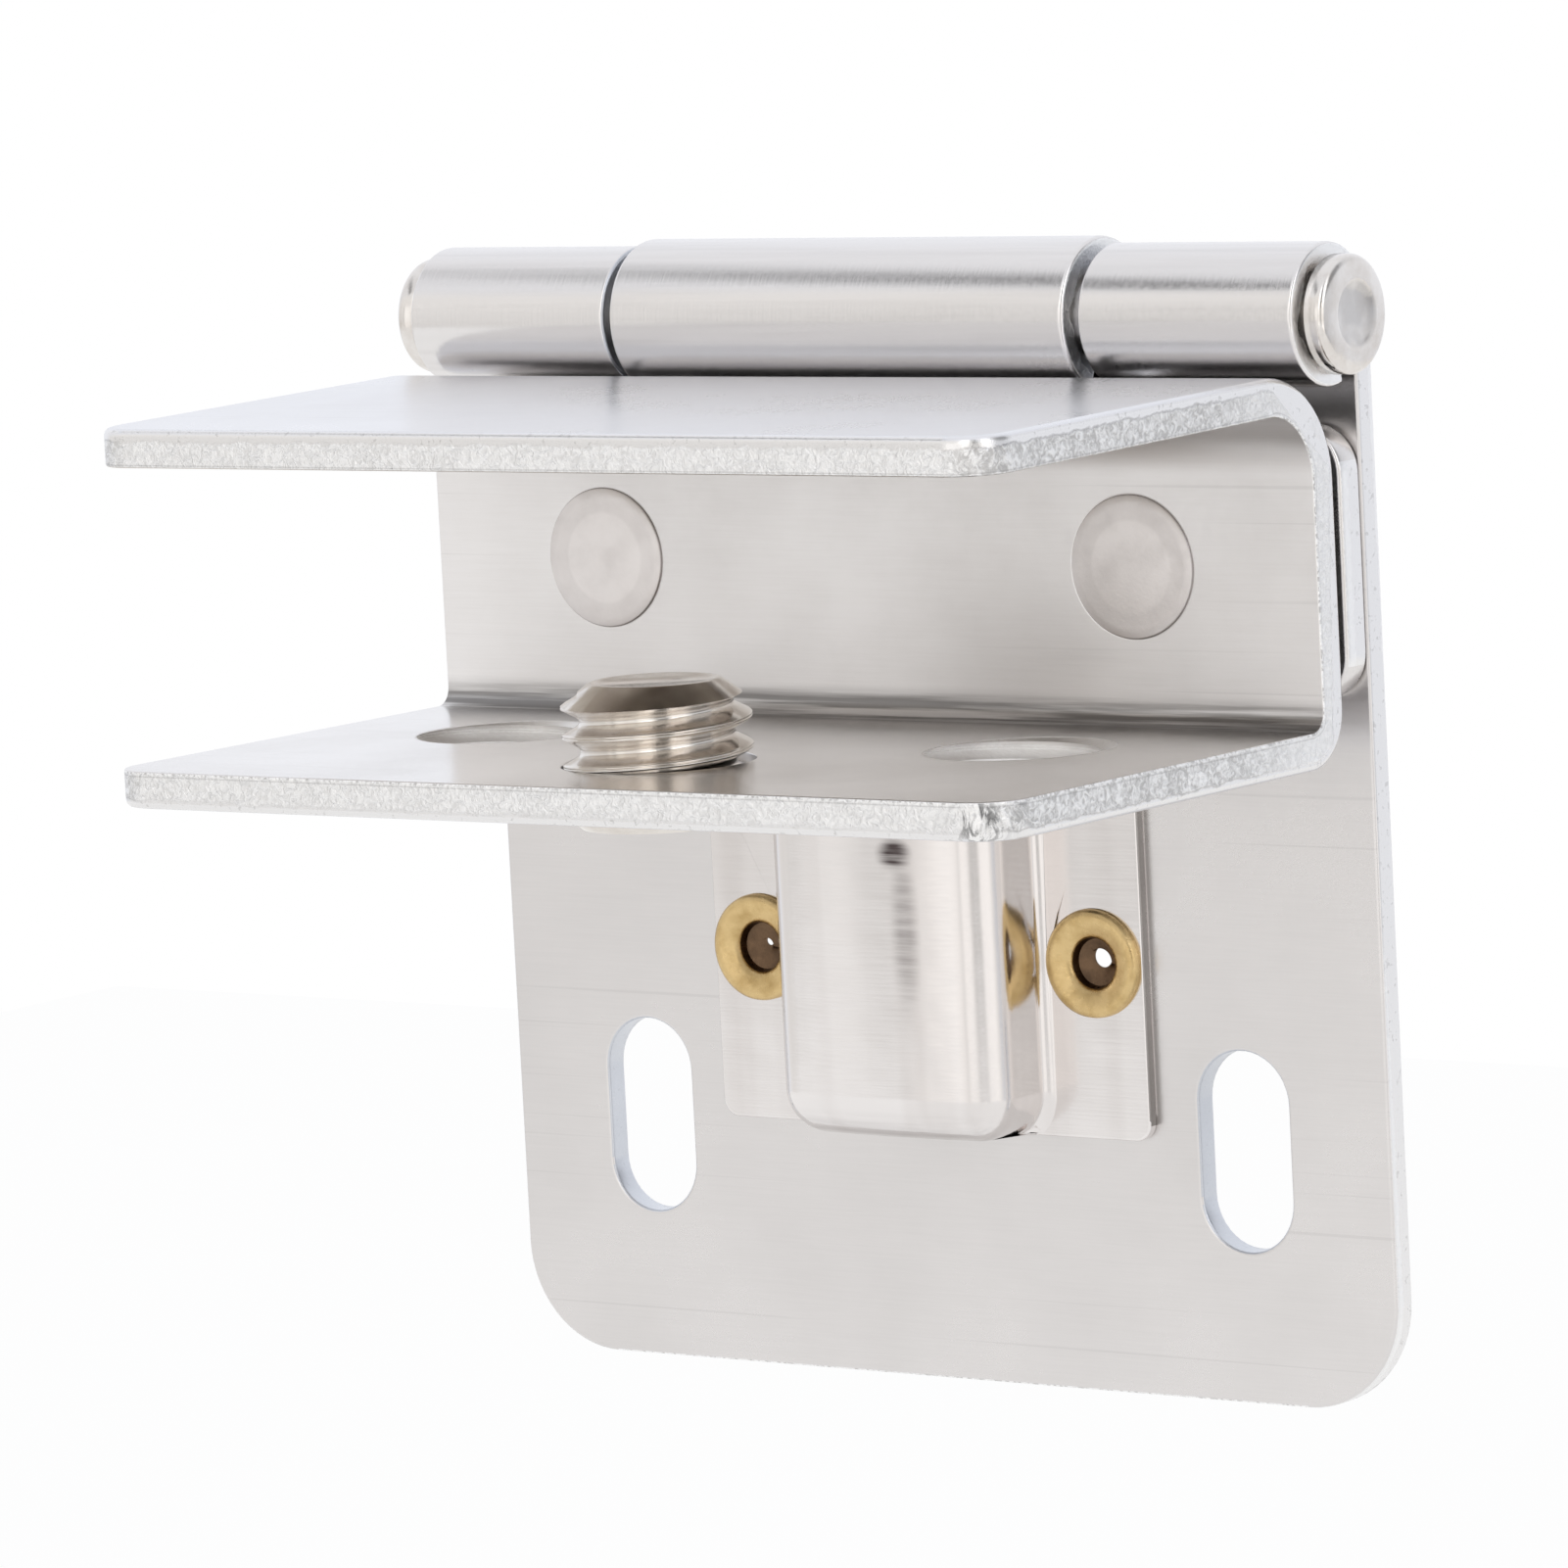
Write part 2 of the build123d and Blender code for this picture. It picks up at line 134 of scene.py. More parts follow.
class NodeBench:
    """Adds nodes to one graph.

    Args:
        tree: The graph.
        coordinates: What its textures are laid by.
    """

    def __init__(self, tree: bpy.types.NodeTree, coordinates: Coordinates) -> None:
        """Starts the graph with its coordinates."""
        self.tree = tree
        self.place = tree.nodes.new("ShaderNodeTexCoord").outputs[coordinates.value]

    def link(self, output: Socket, target: Socket) -> None:
        """Joins an output to an input."""
        self.tree.links.new(output, target)

    def noise(
        self,
        feature_mm: float,
        grain: Grain = Grain.EVEN,
        detail: float = 3.0,
        roughness: float = 0.55,
        distortion: float = 0.0,
    ) -> Socket:
        """Noise over the object's own coordinates.

        Args:
            feature_mm: The size of its features across the grain.
            grain: The way the features are drawn out.
            detail: How many finer layers it has.
            roughness: How strong the finer layers are.
            distortion: How far it swirls.

        Returns:
            The noise value, around one half.
        """
        mapping = self.tree.nodes.new("ShaderNodeMapping")
        mapping.inputs["Scale"].default_value = [crowd / (feature_mm * MM) for crowd in grain.value]
        self.link(self.place, mapping.inputs["Vector"])
        texture = self.tree.nodes.new("ShaderNodeTexNoise")
        settings = {"Scale": 1.0, "Detail": detail, "Roughness": roughness, "Distortion": distortion}
        for name, value in settings.items():
            texture.inputs[name].default_value = value
        self.link(mapping.outputs["Vector"], texture.inputs["Vector"])
        return texture.outputs["Fac"]

    def attribute(self, name: str) -> Socket:
        """Reads a number that the mesh carries.

        Args:
            name: The mesh attribute's name.

        Returns:
            The number.
        """
        node = self.tree.nodes.new("ShaderNodeAttribute")
        node.attribute_name = name
        return node.outputs["Fac"]

    def axes(self) -> tuple[Socket, ...]:
        """Splits the coordinates.

        Returns:
            X, Y and Z.
        """
        node = self.tree.nodes.new("ShaderNodeSeparateXYZ")
        self.link(self.place, node.inputs["Vector"])
        return tuple(node.outputs)

    def near(self, centre_mm: Place, reach_mm: Place, core: float = 0.2) -> Socket:
        """A soft spot.

        Args:
            centre_mm: Its centre.
            reach_mm: How far it goes along X, Y and Z.
            core: The share of its reach that is full.

        Returns:
            1 at the centre, falling to 0 at its reach.
        """
        mapping = self.tree.nodes.new("ShaderNodeMapping")
        mapping.inputs["Location"].default_value = [-c / r for c, r in zip(centre_mm, reach_mm)]
        mapping.inputs["Scale"].default_value = [1 / (r * MM) for r in reach_mm]
        self.link(self.place, mapping.inputs["Vector"])
        length = self.tree.nodes.new("ShaderNodeVectorMath")
        length.operation = "LENGTH"
        self.link(mapping.outputs["Vector"], length.inputs[0])
        return self.spread(length.outputs["Value"], core, 1.0, 1.0, 0.0, smooth=True)

    def math(self, task: Sum, first: Socket | float, second: Socket | float = 0.0) -> Socket:
        """One sum on two values.

        Args:
            task: The sum.
            first: A socket or a number.
            second: A socket or a number.

        Returns:
            The result.
        """
        node = self.tree.nodes.new("ShaderNodeMath")
        node.operation = task.value
        for socket, value in zip(node.inputs, (first, second)):
            if isinstance(value, (int, float)):
                socket.default_value = value
            else:
                self.link(value, socket)
        return node.outputs["Value"]

    def plus(self, first: Socket | float, second: Socket | float) -> Socket:
        """Adds two values."""
        return self.math(Sum.ADD, first, second)

    def times(self, first: Socket | float, second: Socket | float) -> Socket:
        """Multiplies two values."""
        return self.math(Sum.MULTIPLY, first, second)

    def rest_of(self, share: Socket) -> Socket:
        """What a share leaves of the whole."""
        return self.math(Sum.SUBTRACT, 1.0, share)

    def away(self, value: Socket, level: float) -> Socket:
        """How far a value is from a level, on either side."""
        return self.math(Sum.SIZE, self.math(Sum.SUBTRACT, value, level))

    def spread(
        self,
        value: Socket,
        low: float,
        high: float,
        to_low: float,
        to_high: float,
        smooth: bool = False,
    ) -> Socket:
        """Maps a value from one range to another and holds it there.

        Args:
            value: The value.
            low: Where its range starts.
            high: Where its range ends.
            to_low: What low becomes.
            to_high: What high becomes.
            smooth: Whether it eases in and out.

        Returns:
            The mapped value.
        """
        node = self.tree.nodes.new("ShaderNodeMapRange")
        node.interpolation_type = "SMOOTHSTEP" if smooth else "LINEAR"
        self.link(value, node.inputs["Value"])
        names = ("From Min", "From Max", "To Min", "To Max")
        for name, number in zip(names, (low, high, to_low, to_high)):
            node.inputs[name].default_value = number
        return node.outputs["Result"]

    def rise(self, value: Socket, start: float, full: float, top: float = 1.0) -> Socket:
        """Maps a value to 0 up to start, then rising to top at full."""
        return self.spread(value, start, full, 0.0, top)

    def swing(self, noise: Socket, low: float, high: float) -> Socket:
        """Makes a noise swing between two numbers."""
        return self.spread(noise, *NOISE_SPAN, low, high)

    def mix(self, share: Socket | float, first: Socket | Colour, second: Socket | Colour) -> Socket:
        """Mixes two colours.

        Args:
            share: How much of the second.
            first: A colour or a socket.
            second: A colour or a socket.

        Returns:
            The mixed colour.
        """
        node = self.tree.nodes.new("ShaderNodeMix")
        node.data_type = "RGBA"
        if isinstance(share, float):
            node.inputs[0].default_value = share
        else:
            self.link(share, node.inputs[0])
        for index, value in zip(MIX_COLOURS, (first, second)):
            if isinstance(value, tuple):
                node.inputs[index].default_value = (*value, 1.0)
            else:
                self.link(value, node.inputs[index])
        return node.outputs[MIX_RESULT]

    def bump(self, height: Socket, depth_mm: float, under: Socket | None = None) -> Socket:
        """Turns a height into a normal.

        Args:
            height: The height, from 0 to 1.
            depth_mm: How deep a height of 1 is.
            under: The normal that it lies on.

        Returns:
            The normal.
        """
        node = self.tree.nodes.new("ShaderNodeBump")
        node.inputs["Strength"].default_value = 1.0
        node.inputs["Distance"].default_value = depth_mm * MM
        self.link(height, node.inputs["Height"])
        if under is not None:
            self.link(under, node.inputs["Normal"])
        return node.outputs["Normal"]

    def bands(self, value: Socket, stops: Sequence[Point], tints: Sequence[Colour]) -> Socket:
        """Bands of grey round a circle.

        Args:
            value: An angle in radians, from minus to plus half a turn.
            stops: Angles in degrees with their levels.
            tints: Colours, each for an equal share of the stops in turn.

        Returns:
            The colour at the angle.
        """
        node = self.tree.nodes.new("ShaderNodeValToRGB")
        ramp = node.color_ramp
        while len(ramp.elements) < len(stops):
            ramp.elements.new(0.5)
        for index, (element, (degrees, level)) in enumerate(zip(ramp.elements, stops)):
            element.position = (degrees + 180) / 360
            shade = tints[index * len(tints) // len(stops)]
            element.color = (*[level * part for part in shade], 1.0)
        self.link(self.rise(value, -math.pi, math.pi), node.inputs["Fac"])
        return node.outputs["Color"]


class MaterialBench(NodeBench):
    """Builds the node graph of one material.

    Args:
        name: The material's name.
        coordinates: What its textures are laid by.
    """

    def __init__(self, name: str, coordinates: Coordinates = Coordinates.OBJECT) -> None:
        """Starts the material with its shader."""
        self.material = bpy.data.materials.new(name)
        self.material.use_nodes = True
        super().__init__(self.material.node_tree, coordinates)
        self.shader = self.tree.nodes["Principled BSDF"]

    def finish(
        self,
        metallic: float,
        colour: Socket | Colour,
        roughness: Socket | float,
        normal: Socket | None = None,
    ) -> Material:
        """Sets the shader and returns the material.

        Args:
            metallic: 1 for metal.
            colour: The base colour.
            roughness: The roughness.
            normal: The bumped normal, if any.

        Returns:
            The finished material.
        """
        self.shader.inputs["Metallic"].default_value = metallic
        if isinstance(colour, tuple):
            self.shader.inputs["Base Color"].default_value = (*colour, 1.0)
        else:
            self.link(colour, self.shader.inputs["Base Color"])
        if isinstance(roughness, float):
            self.shader.inputs["Roughness"].default_value = roughness
        else:
            self.link(roughness, self.shader.inputs["Roughness"])
        if normal is not None:
            self.link(normal, self.shader.inputs["Normal"])
        return self.material

    def glow(self, strength: float) -> Socket:
        """A shader that only gives off white light.

        Args:
            strength: How bright it is, where 1 is white.

        Returns:
            The shader.
        """
        node = self.tree.nodes.new("ShaderNodeEmission")
        node.inputs["Strength"].default_value = strength
        return node.outputs["Emission"]

    def blend(self, share: Socket, first: Socket, second: Socket) -> None:
        """Makes the surface a blend of two shaders.

        Args:
            share: How much of the second.
            first: A shader.
            second: A shader.
        """
        node = self.tree.nodes.new("ShaderNodeMixShader")
        for socket, value in zip(node.inputs, (share, first, second)):
            self.link(value, socket)
        self.link(node.outputs["Shader"], self.tree.nodes["Material Output"].inputs["Surface"])


@dataclass(frozen=True)
class Mark:
    """A soft-edged dark spot on a surface, by its centre and reach in millimetres: painted shade and
    painted reflection on the sheets and the cover, a real nick on a cut edge.
    """

    centre_mm: Place
    reach_mm: Place
    strength: float


@dataclass(frozen=True)
class SheetFinish:
    """Nickel-plated sheet: fine drawn grain, small pits, long scratches, a cloudy tone, and dark marks of
    painted shade and painted reflection.
    """

    name: str
    colour: Colour = (0.80, 0.775, 0.76)
    stained: Colour = (0.745, 0.72, 0.70)
    # The colour of the scratches and of the marks of painted shade and painted reflection.
    mark_and_shade: Colour = (0.30, 0.29, 0.285)
    roughness: float = 0.30
    grain: Grain = Grain.ALONG_PIN
    grain_mm: float = 0.09
    grain_tone: float = 0.2
    grain_depth_mm: float = 0.0006
    cloud_mm: float = 9.0
    cloud_tone: float = 0.8
    cloud_rough: float = 0.04
    pit_mm: float = 0.35
    pit_rough: Span = (-0.02, 0.025)
    pit_depth_mm: float = 0.0018
    scratch_mm: float = 0.22
    scratches: float = 0.12
    speckle_mm: float = 0.5
    speckle_least: float = 0.15
    marks: tuple[Mark, ...] = ()

    def material(self) -> Material:
        """Builds the finish.

        Returns:
            Its material.
        """
        bench = MaterialBench(self.name)
        cloud = bench.noise(self.cloud_mm, detail=3.0)
        lines = bench.noise(self.grain_mm, self.grain, detail=2.0)
        pits = bench.noise(self.pit_mm, detail=4.0, roughness=0.65)
        tone = bench.rise(cloud, 0.35, 0.75, self.cloud_tone)
        streak = bench.spread(lines, 0.25, 0.75, -self.grain_tone, self.grain_tone)
        colour = bench.mix(bench.plus(tone, streak), self.colour, self.stained)
        scratch = bench.noise(self.scratch_mm, Grain.SCRATCHED, detail=1.0)
        colour = bench.mix(bench.rise(scratch, 0.68, 0.74, self.scratches), colour, self.mark_and_shade)
        # The marks are painted shade and painted reflections: each darkens a soft, speckled spot.
        for mark in self.marks:
            spot = bench.near(mark.centre_mm, mark.reach_mm)
            speckle = bench.noise(self.speckle_mm, Grain.ALONG_PIN, detail=4.0)
            share = bench.times(spot, bench.spread(speckle, 0.42, 0.66, self.speckle_least, 1.0))
            colour = bench.mix(bench.times(share, mark.strength), colour, self.mark_and_shade)
        rough = bench.swing(cloud, self.roughness - self.cloud_rough, self.roughness + self.cloud_rough)
        rough = bench.plus(rough, bench.swing(pits, *self.pit_rough))
        normal = bench.bump(lines, self.grain_depth_mm)
        normal = bench.bump(bench.rise(pits, 0.35, 0.65), self.pit_depth_mm, normal)
        return bench.finish(METAL, colour, rough, normal)


@dataclass(frozen=True)
class RolledFinish:
    """The curled knuckles: smoother than the sheet, with fine rubbed lines round them."""

    name: str
    colour: Colour = (0.80, 0.78, 0.77)
    streak_colour: Colour = (0.72, 0.70, 0.69)
    roughness: float = 0.17
    streak_mm: float = 0.5
    streaks: float = 0.8
    rub_mm: float = 0.14
    rub_depth_mm: float = 0.004
    speck_mm: float = 0.25

    def material(self) -> Material:
        """Builds the finish.

        Returns:
            Its material.
        """
        bench = MaterialBench(self.name)
        streaks = bench.noise(self.streak_mm, Grain.ALONG_PIN, detail=4.0, roughness=0.6)
        rubs = bench.noise(self.rub_mm, Grain.ROUND_PIN, detail=3.0, roughness=0.6)
        specks = bench.noise(self.speck_mm, detail=3.0)
        colour = bench.mix(bench.rise(streaks, 0.45, 0.8, self.streaks), self.colour, self.streak_colour)
        rough = bench.swing(specks, self.roughness - 0.03, self.roughness + 0.05)
        normal = bench.bump(rubs, self.rub_depth_mm)
        normal = bench.bump(streaks, self.rub_depth_mm / 2, normal)
        return bench.finish(METAL, colour, rough, normal)


@dataclass(frozen=True)
class ShearedFinish:
    """A cut edge: smooth near the punched face, torn and grainy over the rest, with a bright burr. Its
    light and dark grains, the burr's bright specks and the nicks' colours are painted glints and painted
    shade, and a painted shadow lies under the burr.

    The mesh attribute "across" runs from 0 at the punched face to 1 at the far face. The tearing is
    coarsest on the sides near the front.
    """

    name: str
    smooth_colour: Colour = (0.84, 0.83, 0.825)
    # The torn grains' light and dark colours, the burr's bright colour and the nick colours are painted
    # glints and painted shade.
    torn_light_and_glint: Colour = (0.93, 0.925, 0.92)
    dark_fleck_and_shade: Colour = (0.50, 0.49, 0.48)
    line_colour: Colour = (0.34, 0.33, 0.325)
    burr_dark: Colour = (0.62, 0.61, 0.60)
    burr_glint: Colour = (1.0, 0.995, 0.99)
    nick_shade: Colour = (0.10, 0.10, 0.10)
    nick_glint: Colour = (0.97, 0.96, 0.95)
    smooth_share: float = 0.24
    burr_share: float = 0.90
    line_share: float = 0.05
    shadow_share: float = 0.03
    waver_mm: float = 0.8
    waver: float = 0.06
    grain_mm: float = 0.30
    grain_depth_mm: float = 0.03
    patch_mm: float = 0.9
    fleck_mm: float = 0.3
    dot_mm: float = 0.22
    ridge_mm: float = 0.6
    side_mm: Span = (20.8, 22.0)
    side_coarseness: Span = (0.30, 0.85)
    front_mm: Span = (-12.0, -6.0)
    back_coarseness: float = 0.12
    contrast: float = 1.0
    nicks: tuple[Mark, ...] = ()

    def coarseness(self, bench: MaterialBench) -> Socket:
        """How coarse the tearing is, and how strong its painted glints and shade: more on the sides than
        along the front, and least at the back.

        Args:
            bench: The material's graph.

        Returns:
            0 for none, up to 1.
        """
        along, forward = bench.axes()[:2]
        beside = bench.math(Sum.SIZE, along)
        side_from, side_to = (side * MM for side in self.side_mm)
        front, back = (place * MM for place in self.front_mm)
        coarse = bench.spread(beside, side_from, side_to, *self.side_coarseness)
        coarse = bench.times(coarse, bench.spread(forward, front, back, 1.0, self.back_coarseness))
        return bench.times(coarse, self.contrast)

    def material(self) -> Material:
        """Builds the finish.

        Returns:
            Its material.
        """
        bench = MaterialBench(self.name)
        across = bench.attribute("across")
        waver = bench.swing(bench.noise(self.waver_mm, detail=4.0), -self.waver, self.waver)
        depth = bench.plus(across, waver)
        torn = bench.rise(depth, self.smooth_share - 0.03, self.smooth_share + 0.05)
        grains = bench.noise(self.grain_mm, detail=4.0, roughness=0.6, distortion=1.2)
        patches = bench.swing(bench.noise(self.patch_mm, detail=3.0), -0.06, 0.06)
        coarse = self.coarseness(bench)
        # Painted glints and shade: the torn grains are coloured light and dark, most on the sides near the
        # front.
        dark = bench.times(bench.spread(bench.plus(grains, patches), 0.38, 0.60, 1.0, 0.0), coarse)
        torn_colour = bench.mix(dark, self.torn_light_and_glint, self.dark_fleck_and_shade)
        flecks = bench.noise(self.fleck_mm, detail=4.0, roughness=0.6)
        smooth_colour = bench.mix(
            bench.rise(flecks, 0.60, 0.66, 0.45), self.smooth_colour, self.dark_fleck_and_shade
        )
        colour = bench.mix(torn, smooth_colour, torn_colour)
        step = bench.away(depth, self.smooth_share)
        line = bench.times(bench.spread(step, 0.0, self.line_share, 0.6, 0.0), coarse)
        colour = bench.mix(line, colour, self.line_colour)
        # Painted glints: bright specks along the burr.
        glint_dots = bench.rise(bench.noise(self.dot_mm, detail=3.0, roughness=0.6), 0.42, 0.52)
        burr = bench.rise(across, self.burr_share, self.burr_share + 0.05)
        colour = bench.mix(burr, colour, bench.mix(glint_dots, self.burr_dark, self.burr_glint))
        under = bench.away(across, self.burr_share - self.shadow_share)
        shadow = bench.times(bench.spread(under, 0.0, self.shadow_share, 0.4, 0.0), self.contrast)
        colour = bench.mix(shadow, colour, self.line_colour)
        rough = bench.spread(torn, 0.0, 1.0, 0.22, 0.32)
        height = bench.times(bench.rise(grains, 0.36, 0.64), bench.spread(torn, 0.0, 1.0, 0.10, 1.0))
        # Each nick is a real chip, coloured with painted glints and painted shade.
        for nick in self.nicks:
            share = bench.times(bench.near(nick.centre_mm, nick.reach_mm), nick.strength)
            ridges = bench.noise(self.ridge_mm, Grain.HACKED, detail=5.0, roughness=0.65, distortion=0.8)
            crisp = bench.rise(ridges, 0.46, 0.54)
            colour = bench.mix(share, colour, bench.mix(crisp, self.nick_shade, self.nick_glint))
            height = bench.plus(height, bench.times(crisp, share))
        return bench.finish(METAL, colour, rough, bench.bump(height, self.grain_depth_mm))


@dataclass(frozen=True)
class TurnedFinish:
    """Plated turned steel: near smooth, faintly stained, and darkened by a share that each point carries:
    a brown stain and painted shade.
    """

    name: str
    colour: Colour = (0.80, 0.77, 0.74)
    stained: Colour = (0.66, 0.61, 0.56)
    stain_and_shade: Colour = (0.36, 0.30, 0.24)
    roughness: float = 0.14
    stain_mm: float = 1.4
    patch_mm: float = 2.2
    pit_mm: float = 0.2
    pit_depth_mm: float = 0.004

    def material(self) -> Material:
        """Builds the finish.

        Returns:
            Its material.
        """
        bench = MaterialBench(self.name)
        stains = bench.noise(self.stain_mm, detail=4.0, roughness=0.6)
        pits = bench.noise(self.pit_mm, detail=3.0)
        colour = bench.mix(bench.rise(stains, 0.45, 0.8), self.colour, self.stained)
        patchy = bench.spread(bench.noise(self.patch_mm, detail=2.0), 0.40, 0.60, 1.0, 0.05)
        # A brown stain and painted shade: each point darkens by its share, in patches.
        stain_and_shade_share = bench.times(bench.attribute("stain_and_shade"), patchy)
        colour = bench.mix(stain_and_shade_share, colour, self.stain_and_shade)
        rough = bench.swing(pits, self.roughness - 0.03, self.roughness + 0.07)
        return bench.finish(METAL, colour, rough, bench.bump(pits, self.pit_depth_mm))


@dataclass(frozen=True)
class RivetFinish:
    """A rivet pressed flush: faintly mottled, and darkened round its rim and a little outside its shallow
    step, with dirt and painted shade.
    """

    name: str
    colour: Colour = (0.85, 0.815, 0.80)
    stained: Colour = (0.80, 0.765, 0.75)
    grime_and_shade_colour: Colour = (0.40, 0.37, 0.36)
    roughness: float = 0.40
    stain_mm: float = 1.3
    pit_mm: float = 0.18
    pit_depth_mm: float = 0.008

    def material(self) -> Material:
        """Builds the finish.

        Returns:
            Its material.
        """
        bench = MaterialBench(self.name)
        stains = bench.noise(self.stain_mm, detail=4.0, roughness=0.6)
        pits = bench.noise(self.pit_mm, detail=3.0)
        colour = bench.mix(bench.rise(stains, 0.42, 0.75), self.colour, self.stained)
        # Dirt and painted shade round the rim, and painted shade outside the shallow step.
        colour = bench.mix(bench.attribute("grime_and_shade"), colour, self.grime_and_shade_colour)
        rough = bench.swing(stains, self.roughness - 0.05, self.roughness + 0.06)
        return bench.finish(METAL, colour, rough, bench.bump(pits, self.pit_depth_mm))


@dataclass(frozen=True)
class PressedFinish:
    """The cover's bright plating: almost a mirror, with faint drawing lines and soft waves, and dark marks
    of painted reflection and painted shade.
    """

    name: str
    colour: Colour = (0.84, 0.81, 0.795)
    stained: Colour = (0.72, 0.68, 0.66)
    mark_and_shade: Colour = (0.10, 0.08, 0.08)
    roughness: float = 0.14
    wave_mm: float = 2.6
    wave_depth_mm: float = 0.02
    line_mm: float = 0.12
    line_depth_mm: float = 0.0015
    stain_mm: float = 2.2
    rag_mm: float = 0.35
    marks: tuple[Mark, ...] = ()

    def material(self) -> Material:
        """Builds the finish.

        Returns:
            Its material.
        """
        bench = MaterialBench(self.name)
        waves = bench.noise(self.wave_mm, detail=1.0)
        lines = bench.noise(self.line_mm, Grain.ALONG_PIN, detail=3.0)
        stains = bench.noise(self.stain_mm, Grain.UPRIGHT, detail=2.0, roughness=0.5)
        colour = bench.mix(bench.rise(stains, 0.45, 0.8, 0.8), self.colour, self.stained)
        # The marks are painted reflections and painted shade: each darkens a soft, ragged spot.
        for mark in self.marks:
            spot = bench.near(mark.centre_mm, mark.reach_mm)
            rag = bench.noise(self.rag_mm, Grain.ALONG_PIN, detail=3.0)
            share = bench.times(spot, bench.spread(rag, 0.35, 0.6, 0.35, 1.0))
            colour = bench.mix(bench.times(share, mark.strength), colour, self.mark_and_shade)
        rough = bench.swing(lines, self.roughness - 0.02, self.roughness + 0.05)
        normal = bench.bump(waves, self.wave_depth_mm)
        normal = bench.bump(lines, self.line_depth_mm, normal)
        return bench.finish(METAL, colour, rough, normal)


@dataclass(frozen=True)
class BrassFinish:
    """Rolled brass, a little rough and browner where it has tarnished."""

    name: str
    colour: Colour = (0.72, 0.53, 0.26)
    stained: Colour = (0.50, 0.34, 0.14)
    roughness: float = 0.30
    stain_mm: float = 1.0
    pit_mm: float = 0.16
    pit_depth_mm: float = 0.012

    def material(self) -> Material:
        """Builds the finish.

        Returns:
            Its material.
        """
        bench = MaterialBench(self.name)
        stains = bench.noise(self.stain_mm, detail=4.0)
        pits = bench.noise(self.pit_mm, detail=4.0, roughness=0.6)
        colour = bench.mix(bench.rise(stains, 0.42, 0.75), self.colour, self.stained)
        rough = bench.swing(pits, self.roughness - 0.05, self.roughness + 0.08)
        return bench.finish(METAL, colour, rough, bench.bump(pits, self.pit_depth_mm))


@dataclass(frozen=True)
class FerriteFinish:
    """Sintered magnet: dark, dull and finely grained."""

    name: str
    colour: Colour = (0.045, 0.045, 0.05)
    worn: Colour = (0.10, 0.10, 0.105)
    roughness: float = 0.55
    grain_mm: float = 0.15
    grain_depth_mm: float = 0.02

    def material(self) -> Material:
        """Builds the finish.

        Returns:
            Its material.
        """
        bench = MaterialBench(self.name)
        grains = bench.noise(self.grain_mm, detail=5.0, roughness=0.7)
        colour = bench.mix(bench.rise(grains, 0.4, 0.75), self.colour, self.worn)
        return bench.finish(PLAIN, colour, self.roughness, bench.bump(grains, self.grain_depth_mm))


